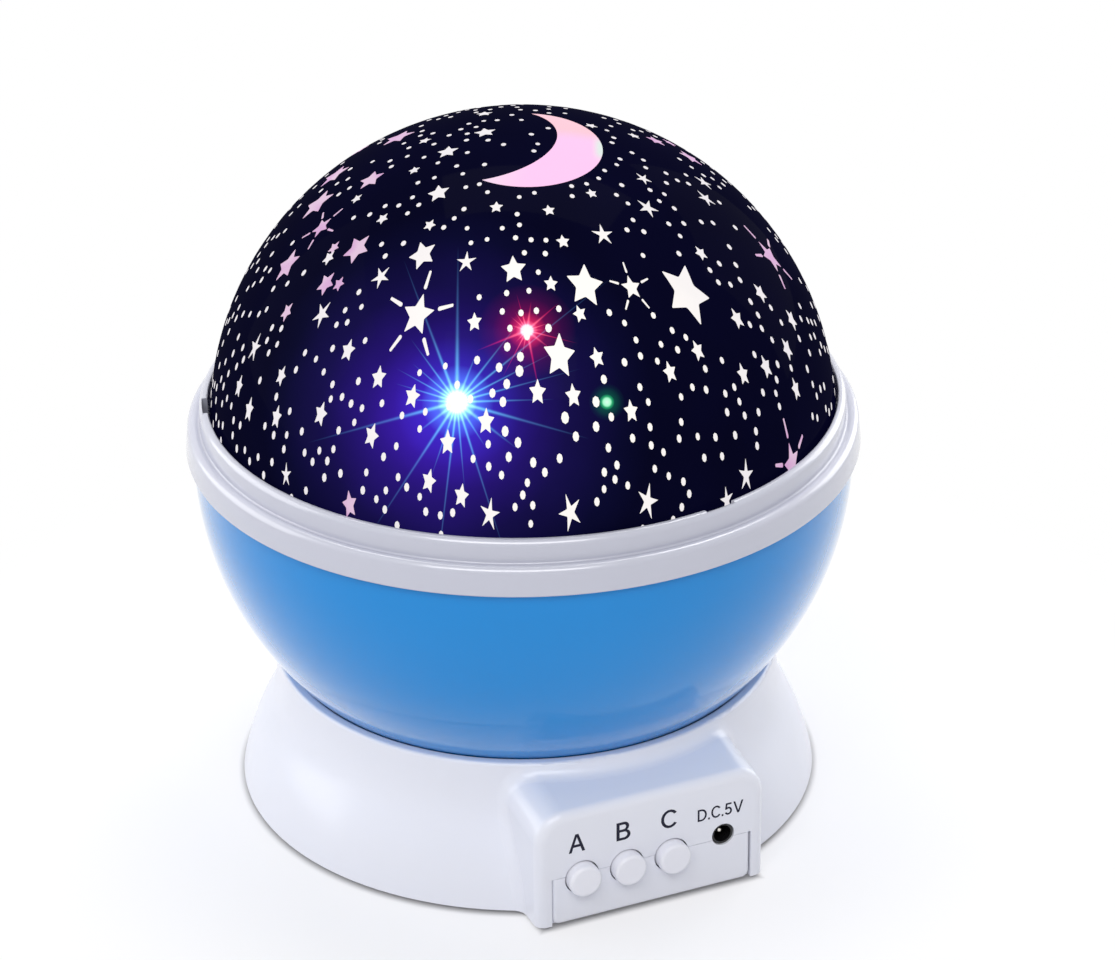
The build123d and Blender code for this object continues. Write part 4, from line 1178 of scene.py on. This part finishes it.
    # Layout.
    def _free(self, spot: Vector, room: float) -> bool:
        """Whether a point keeps its distance from all marks placed so far and from the crescent.

        Args:
            spot: Point on the sphere, mm.
            room: The distance, mm.

        Returns:
            Whether a mark may go there.
        """
        if spot.z < self.radius * math.sin(math.radians(self.lowest)):
            return False
        flat = spot.to_2d()
        in_outer = (flat - Vector(self.moon_outer[:2])).length < self.moon_outer[2] + 1.0
        in_inner = (flat - Vector(self.moon_inner[:2])).length < self.moon_inner[2] - 1.2
        if spot.z > 0 and in_outer and not in_inner:
            return False
        return all((spot - other).length > max(room, reach) for other, reach in self.placed)

    def _footprint(self, mark: Mark) -> tuple[Vector, float]:
        """Where a star is on the sphere, and how far other marks stay from it."""
        dashes = 2.2 if mark.kind.dashed else 1.0
        return mark.direction() * self.radius, mark.size * dashes * self.stretch(mark.height) + 1.0

    def star_marks(self, dice: random.Random) -> list[Mark]:
        """Lays out the stars: those of the table, and more of them round the back.

        Args:
            dice: Source of the random draws.

        Returns:
            All stars.
        """
        marks = []
        for kind, rows in STARS.items():
            for row in rows:
                turn = row[3] if len(row) > 3 else dice.uniform(-12, 12)
                marks.append(Mark(row[0], row[1], row[2], turn, kind))
        self.placed += [self._footprint(mark) for mark in marks]
        total = len(marks) + self.back_stars
        while len(marks) < total:
            kind = dice.choice(self.back_kinds)
            size = dice.choice(self.back_sizes)
            mark = Mark(dice.uniform(2, 138), dice.uniform(9, 66), size, dice.uniform(-40, 40), kind)
            spot, reach = self._footprint(mark)
            if self._free(spot, reach + 3.0):
                self.placed.append((spot, reach))
                marks.append(mark)
        return marks

    def dot_marks(self, dice: random.Random) -> list[Mark]:
        """Lays out dots in wandering chains over what the stars leave free.

        Args:
            dice: Source of the random draws.

        Returns:
            All dots.
        """
        dots: list[Mark] = []
        tries = 0
        while len(dots) < self.dot_count and tries < self.dot_tries:
            tries += 1
            height = math.degrees(math.asin(dice.uniform(math.sin(math.radians(self.lowest)), 0.999)))
            azimuth = dice.uniform(-180, 180)
            heading = dice.uniform(0, math.tau)
            spacing = dice.uniform(2.6, 4.6)
            for _ in range(dice.randint(1, 5)):
                mark = Mark(azimuth, height, self.dot_width * dice.uniform(0.94, 1.08))
                spot = mark.direction() * self.radius
                if not self._free(spot, self.dot_room):
                    break
                self.placed.append((spot, self.dot_room))
                dots.append(mark)
                heading += dice.uniform(-0.8, 0.8)
                step = math.degrees(spacing / self.radius)
                height += step * math.cos(heading)
                azimuth += step * math.sin(heading) / max(math.cos(math.radians(height)), 0.15)
                if height > self.highest:
                    break
        return dots

    def build(self) -> None:
        """Builds the crescent, the stars and the dots."""
        dice = random.Random(self.seed)
        windows = ClearWindow("clear window").build()
        stars = self._canvas()
        sheets = {kind: [self.star_sheet(kind.waist, fine) for fine in (False, True)] for kind in Kind}
        dash = self.dash_sheet()
        for mark in self.star_marks(dice):
            large = mark.size > self.large_star
            self.stamp(stars, sheets[mark.kind][large], mark, mark.turn, mark.kind.pink)
            for point in range(5 if mark.kind.dashed else 0):
                self.stamp(stars, dash, mark, mark.turn + 72 * point, mark.kind.pink)
        self.finish(stars, "sky_stars", windows)
        dots = self._canvas()
        sheet = self._kept(self._disc(8))
        # Dots near the lit diodes are drawn larger, standing in for the glare of their light round them.
        lamp = Vector(self.lamp) - Vector((0, 0, self.centre_z))
        for mark in self.dot_marks(dice):
            away = (mark.direction() * self.radius - lamp).length
            size = mark.size * (1.0 + self.lamp_gain * math.exp(-((away / self.lamp_reach) ** 2)))
            self.stamp(dots, sheet, Mark(mark.azimuth, mark.height, size), 0.0, 0.0)
        self.finish(dots, "sky_dots", windows)
        moon = bmesh.new()
        moon.from_mesh(self.moon_sheet())
        for vert in moon.verts:
            vert.co.z = math.sqrt(self.radius**2 - vert.co.x**2 - vert.co.y**2)
        self.finish(moon, "sky_crescent", MoonWindow("crescent window").build())


# ---- lettering
Loop = tuple[Pair, ...]


def arc(centre: Pair, radii: Pair, start: float, end: float) -> Loop:
    """Points along part of an ellipse.

    Args:
        centre: Its middle.
        radii: Half its width and half its height.
        start: First angle, degrees anticlockwise from the right.
        end: Last angle.

    Returns:
        Fourteen points.
    """
    turns = [math.radians(start + (end - start) * step / 13) for step in range(14)]
    return tuple((centre[0] + radii[0] * math.cos(turn), centre[1] + radii[1] * math.sin(turn)) for turn in turns)


# Width of each plain letter and its loops, the outer one first, in capital heights.
GLYPHS: dict[str, tuple[float, tuple[Loop, ...]]] = {
    "A": (0.92, (
        ((0, 0), (0.375, 1), (0.555, 1), (0.93, 0), (0.76, 0), (0.66, 0.28), (0.262, 0.28), (0.165, 0)),
        ((0.316, 0.42), (0.612, 0.42), (0.464, 0.835)),
    )),
    "B": (0.75, (
        ((0, 0), (0, 1), *arc((0.4, 0.745), (0.275, 0.255), 90, -55), *arc((0.43, 0.285), (0.315, 0.285), 60, -90)),
        ((0.165, 0.595), (0.165, 0.86), *arc((0.39, 0.7275), (0.12, 0.1325), 90, -90)),
        ((0.165, 0.14), (0.165, 0.455), *arc((0.41, 0.2975), (0.165, 0.1575), 90, -90)),
    )),
    "C": (0.85, (
        (*arc((0.47, 0.5), (0.47, 0.515), 36, 324), *arc((0.47, 0.5), (0.305, 0.375), 322, 38)),
    )),
    "D": (0.84, (
        ((0, 0), (0, 1), *arc((0.35, 0.5), (0.49, 0.5), 90, -90)),
        ((0.165, 0.14), (0.165, 0.86), *arc((0.34, 0.5), (0.33, 0.36), 90, -90)),
    )),
    "5": (0.66, (
        ((0.1, 1), (0.615, 1), (0.615, 0.855), (0.235, 0.855), *arc((0.325, 0.33), (0.345, 0.33), 108, -158),
         *arc((0.325, 0.33), (0.175, 0.19), -155, 125), (0.18, 0.46), (0.025, 0.48)),
    )),
    "V": (0.92, (
        ((0, 1), (0.17, 1), (0.465, 0.19), (0.755, 1), (0.93, 1), (0.555, 0), (0.375, 0)),
    )),
    ".": (0.16, (((0, 0), (0, 0.16), (0.16, 0.16), (0.16, 0)),)),
}


@dataclass
class Lettering:
    """Pad-printed letters over the buttons and the jack."""

    face_y: float
    proud: float = 0.02
    sunk: float = 0.15
    gap: float = 0.12
    letters: tuple[tuple[str, float, float, float, float], ...] = (
        ("A", -15.7, 18.2, 4.0, 0.92),
        ("B", -6.0, 18.35, 4.0, 0.98),
        ("C", 3.5, 18.5, 4.0, 0.98),
        ("D.C.5V", 14.4, 17.5, 2.65, 0.87),
    )

    def _glyphs(self, text: str, height: float, narrow: float) -> BMesh:
        """Flat text centred on the origin.

        Args:
            text: What it says.
            height: Height of its capitals, mm.
            narrow: Width as a share of the plain letters'.

        Returns:
            The text as a mesh in the XY plane.
        """
        glyphs = bmesh.new()
        total = sum(GLYPHS[letter][0] for letter in text) + self.gap * (len(text) - 1)
        left = -total / 2
        for letter in text:
            width, loops = GLYPHS[letter]
            edges = []
            for loop in loops:
                verts = [glyphs.verts.new(((left + x) * height * narrow, (y - 0.5) * height, 0.0)) for x, y in loop]
                edges += [glyphs.edges.new((verts[index - 1], verts[index])) for index in range(len(verts))]
            bmesh.ops.triangle_fill(glyphs, use_beauty=True, use_dissolve=False, edges=edges)
            left += width + self.gap
        return glyphs

    def build(self) -> None:
        """Builds every mark on the control box."""
        ink = PadPrint("pad print").build()
        for text, x, z, height, narrow in self.letters:
            glyphs = self._glyphs(text, height, narrow)
            outer = thicken(glyphs)
            for vert in glyphs.verts:
                depth = -self.proud if vert in outer else self.sunk
                vert.co = Vector((x + vert.co.x, self.face_y + depth, z + vert.co.y))
            name = "mark_" + "".join(letter for letter in text.lower() if letter.isalnum())
            add_piece(glyphs, name, ink, "base")


# ---- rim ring
@dataclass
class RimRing:
    """The two-stepped ring, spun finely enough for a clean line of light along each step.

    Attributes:
        outline: Radius, height and rounding of each corner of its section, mm.
        notches: Middles of the bayonet notches, degrees.
        half_notch: Half the width of one, degrees.
        stop_turn: From a notch to its stop rib, degrees.
        half_stop: Half the width of a rib, degrees.
        channel: Outer radius of the channel under the lip, mm.
        lip_under: Underside of the lip, mm.
        rib: Inner radius of a rib, mm.
    """

    outline: tuple[Triple, ...] = (
        (65.9, 73.9, 0.5), (65.3, 80.1, 1.75), (63.0, 79.3, 0.5), (62.9, 84.0, 1.25),
        (61.3, 84.0, 0.3), (61.3, 79.2, 0.0), (62.4, 79.2, 0.0), (62.4, 77.4, 0.0),
        (58.5, 77.4, 0.25), (58.5, 76.0, 0.25), (62.8, 76.0, 0.0), (62.8, 73.9, 0.0),
    )
    notches: tuple[float, ...] = (-77.5, 42.5, 162.5)
    half_notch: float = 3.0
    stop_turn: float = 16.8
    half_stop: float = 0.85
    channel: float = 62.4
    lip_under: float = 79.2
    rib: float = 61.6

    def _reshape(self, vert: BMVert) -> None:
        """Opens the lip where a notch is, and fills the channel where a stop rib is.

        Args:
            vert: Vertex of the ring, which is moved.
        """
        angle = math.degrees(math.atan2(vert.co.y, vert.co.x))
        radius = vert.co.to_2d().length
        for notch in self.notches:
            beside = (angle - notch + 180) % 360 - 180
            if abs(beside) < self.half_notch - 0.1:
                if radius < self.channel and vert.co.z > self.lip_under - 0.1:
                    radius = self.channel
                if abs(beside) > self.half_notch - 1.1:
                    angle = notch + math.copysign(self.half_notch - 0.05, beside)
            at_stop = abs((angle - notch - self.stop_turn + 180) % 360 - 180) < self.half_stop
            if at_stop and abs(radius - self.channel) < 0.01 and vert.co.z < self.lip_under + 0.01:
                radius = self.rib
        turn = math.radians(angle)
        vert.co.x, vert.co.y = radius * math.cos(turn), radius * math.sin(turn)

    def build(self, finish: Material) -> None:
        """Builds the ring.

        Args:
            finish: Its material.
        """
        ring = bmesh.new()
        corners = [ring.verts.new((radius, 0.0, height)) for radius, height, _ in self.outline]
        ring.faces.new(corners)
        for vert, (_, _, off) in zip(corners, self.outline):
            if off:
                bmesh.ops.bevel(ring, geom=[vert], offset=off, segments=7, profile=0.5, affect="VERTICES", material=-1)
        half_step = Matrix.Rotation(math.radians(0.5), 3, "Z")
        bmesh.ops.rotate(ring, verts=ring.verts[:], cent=(0, 0, 0), matrix=half_step)
        spin_section(ring)
        for vert in ring.verts:
            self._reshape(vert)
        bmesh.ops.remove_doubles(ring, verts=ring.verts[:], dist=0.001)
        for face in ring.faces:
            face.smooth = True
        piece = add_piece(ring, "rim_ring_fine", finish, "globe")
        piece.data.set_sharp_from_angle(angle=math.radians(38))
        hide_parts("rim_ring")


@dataclass
class SeatGapFill:
    """A thin white ring set in the gap round the bowl, just under the seat's edge, which nearly closes the gap so that
    less shade shows in it.

    Attributes:
        section: Radius and height of its four corners, mm.
    """

    section: tuple[Pair, ...] = ((48.0, 28.55), (48.0, 28.75), (48.45, 28.82), (48.45, 28.5))

    def build(self, finish: Material) -> None:
        """Builds the ring.

        Args:
            finish: Its material.
        """
        gap_fill = bmesh.new()
        gap_fill.faces.new([gap_fill.verts.new((radius, 0.0, height)) for radius, height in self.section])
        spin_section(gap_fill)
        add_piece(gap_fill, "seat_gap_fill", finish, "base")


@dataclass
class PinTip:
    """The rounded end of the jack's centre pin, just inside its mouth.

    Attributes:
        radius: Radius of the pin, mm.
        shank: Straight length behind the round end, mm.
        centre: Middle of the round end, mm.
    """

    radius: float = 0.64
    shank: float = 1.6
    centre: Triple = (15.0, -57.9, 12.0)

    def build(self, finish: Material) -> None:
        """Builds the tip.

        Args:
            finish: Its material.
        """
        tip = bmesh.new()
        bmesh.ops.create_uvsphere(tip, u_segments=24, v_segments=16, radius=self.radius)
        for vert in tip.verts:
            if vert.co.z < -0.01:
                vert.co.z -= self.shank
        to_front = Matrix.Rotation(math.radians(90), 3, "X")
        bmesh.ops.rotate(tip, verts=tip.verts[:], cent=(0, 0, 0), matrix=to_front)
        bmesh.ops.translate(tip, verts=tip.verts[:], vec=self.centre)
        for face in tip.faces:
            face.smooth = True
        add_piece(tip, "jack_pin_tip", finish, "base")


# ---- studio
@dataclass(frozen=True)
class Lamp:
    """One soft box that faces the object.

    Attributes:
        name: Lamp name.
        bearing: Degrees from the camera's side round to the right, seen from the object.
        height: Degrees above the table.
        size: Width and height, m.
        power: Watts.
    """

    name: str
    bearing: float
    height: float
    size: Pair
    power: float


@dataclass
class Studio:
    """Pale floor, soft lamps and the camera.

    Attributes:
        aim: Point that the camera and the lamps face, m.
        distance: From there to the camera, m.
        azimuth: Degrees of the camera round from the front.
        elevation: Degrees of the camera above the table.
        roll: Degrees that the camera leans.
        lens: Focal length on a 36 mm sensor, mm.
        shift: Sideways and upward shift of the lens.
        ambient: Strength of the world's light on surfaces.
        lamp_distance: From the aim to each lamp, m.
        lamps: The soft boxes.
        skirt: Radius of the base's foot on the floor, m.
        box: Half width and reach of the control box's foot, m.
        slit: Depths under the foot's edge between which the painted contact shadow fades out, m.
        dark: How dark the painted contact shadow is.
        glow: How bright the floor is of itself near the object.
        fade: Distances from the axis between which the floor turns white, m.
        clamp: Brightest sample of light that has bounced.
    """

    aim: Triple = (0.0, 0.0, 0.07)
    distance: float = 0.802
    azimuth: float = -22.97
    elevation: float = 27.26
    roll: float = -0.87
    lens: float = 131.93
    shift: Pair = (0.0305, -0.0259)
    ambient: float = 0.42
    lamp_distance: float = 1.2
    lamps: tuple[Lamp, ...] = (
        Lamp("lamp_front", -6.0, 46.0, (1.0, 0.5), 7.0),
        Lamp("lamp_top", 172.0, 64.0, (1.0, 0.5), 8.0),
        Lamp("lamp_left", -104.0, 12.0, (1.2, 1.4), 9.0),
        Lamp("lamp_right", 132.0, 14.0, (0.9, 0.9), 6.0),
    )
    skirt: float = 0.0574
    box: Pair = (0.0224, 0.0592)
    slit: Pair = (-0.0018, 0.0002)
    dark: float = 0.85
    glow: float = 0.52
    fade: Pair = (0.066, 0.15)
    clamp: float = 1.0

    def _facing(self, bearing: float, height: float, distance: float) -> Matrix:
        """Place from which a camera or a lamp faces the aim.

        Args:
            bearing: Degrees from the camera's side round to the right.
            height: Degrees above the table.
            distance: From the aim, m.

        Returns:
            The place and its turn.
        """
        turn, rise = math.radians(self.azimuth + bearing), math.radians(height)
        away = Vector((math.sin(turn) * math.cos(rise), -math.cos(turn) * math.cos(rise), math.sin(rise)))
        place = Matrix.Translation(Vector(self.aim) + away * distance)
        return place @ away.to_track_quat("Z", "Y").to_matrix().to_4x4()

    def place_camera(self) -> None:
        """Sets the camera at the viewing angle."""
        data = bpy.data.cameras.new("camera")
        data.sensor_width = 36.0
        data.lens = self.lens
        data.shift_x, data.shift_y = self.shift
        data.clip_start = 0.01
        camera = bpy.data.objects.new("camera", data)
        lean = Matrix.Rotation(math.radians(self.roll), 4, "Z")
        camera.matrix_world = self._facing(0.0, self.elevation, self.distance) @ lean
        bpy.context.scene.collection.objects.link(camera)
        bpy.context.scene.camera = camera

    def place_lamps(self) -> None:
        """Adds the soft boxes."""
        for lamp in self.lamps:
            data = bpy.data.lights.new(lamp.name, "AREA")
            data.shape = "RECTANGLE"
            data.size, data.size_y = lamp.size
            data.energy = lamp.power
            placed = bpy.data.objects.new(lamp.name, data)
            placed.matrix_world = self._facing(lamp.bearing, lamp.height, self.lamp_distance)
            bpy.context.scene.collection.objects.link(placed)

    def light_world(self) -> None:
        """White surroundings that light the object evenly and less than they show."""
        world = bpy.data.worlds.new("studio")
        bpy.context.scene.world = world
        world.use_nodes = True
        nodes = Nodes(world.node_tree)
        background = nodes.tree.nodes["Background"]
        background.inputs["Color"].default_value = (*WHITE, 1.0)
        strength = nodes.ray("Camera", "Glossy", "Transmission") * (1.0 - self.ambient) + self.ambient
        nodes.tree.links.new(strength.output, background.inputs["Strength"])

    def _floor_finish(self) -> Material:
        """Matte floor for light, pale floor for the eye, with a painted contact shadow along the foot's outline, and
        clear from below.

        Returns:
            The floor's material.
        """
        paint = Paint("studio floor")
        matte = paint.node("ShaderNodeBsdfDiffuse", {}, {"Color": (0.75, 0.75, 0.77)})
        faint = paint.node("ShaderNodeBsdfDiffuse", {}, {"Color": (0.42, 0.415, 0.43)})
        glow = paint.node("ShaderNodeEmission", {}, {"Color": WHITE, "Strength": self.glow})
        white = paint.node("ShaderNodeEmission", {}, {"Color": WHITE, "Strength": 1.0})
        clear = paint.node("ShaderNodeBsdfTransparent")
        lit = paint.node("ShaderNodeAddShader", {}, {0: faint, 1: glow})
        away = paint.length(paint.place())
        across, along, _ = paint.axes(paint.place())
        half_width, reach = self.box
        # Painted contact shadow: the floor's own glow is taken away along the outline of the foot.
        box = -(across.absolute() - half_width).most(along * -1.0 - reach).most(along)
        painted_contact_shadow = (self.skirt - away).most(box).step(*self.slit) * self.dark
        near = paint.blend(painted_contact_shadow, lit, faint)
        pale = paint.blend(away.step(*self.fade), near, white)
        above = paint.blend(paint.ray("Camera", "Glossy"), matte, pale)
        below = paint.node("ShaderNodeNewGeometry", output="Backfacing")
        return paint.end(paint.blend(below, above, clear))

    def lay_floor(self) -> None:
        """Pale floor that keeps the object's shadow."""
        mesh = bmesh.new()
        bmesh.ops.create_grid(mesh, x_segments=1, y_segments=1, size=3.0)
        floor = add_object(mesh, "floor", self._floor_finish())

    def build(self) -> None:
        """Builds the whole studio."""
        scene = bpy.context.scene
        scene.view_settings.view_transform = "Standard"
        scene.cycles.caustics_reflective = False
        scene.cycles.caustics_refractive = False
        scene.cycles.sample_clamp_indirect = self.clamp
        self.place_camera()
        self.light_world()
        self.lay_floor()
        self.place_lamps()


def main() -> None:
    """Builds the lamp's looks in order."""
    logging.basicConfig(level=logging.INFO, format="%(name)s %(message)s")
    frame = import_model()
    Studio().build()
    wardrobe = Wardrobe()
    wardrobe.dress(frame["nodes"])
    NightSky().build()
    face_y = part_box("base_shell")[0].y / MM
    Lettering(face_y).build()
    RimRing().build(wardrobe.material(Slot.RING))
    PinTip().build(wardrobe.material(Slot.NICKEL))
    SeatGapFill().build(wardrobe.material(Slot.BASE))


if __name__ == "__main__":
    main()
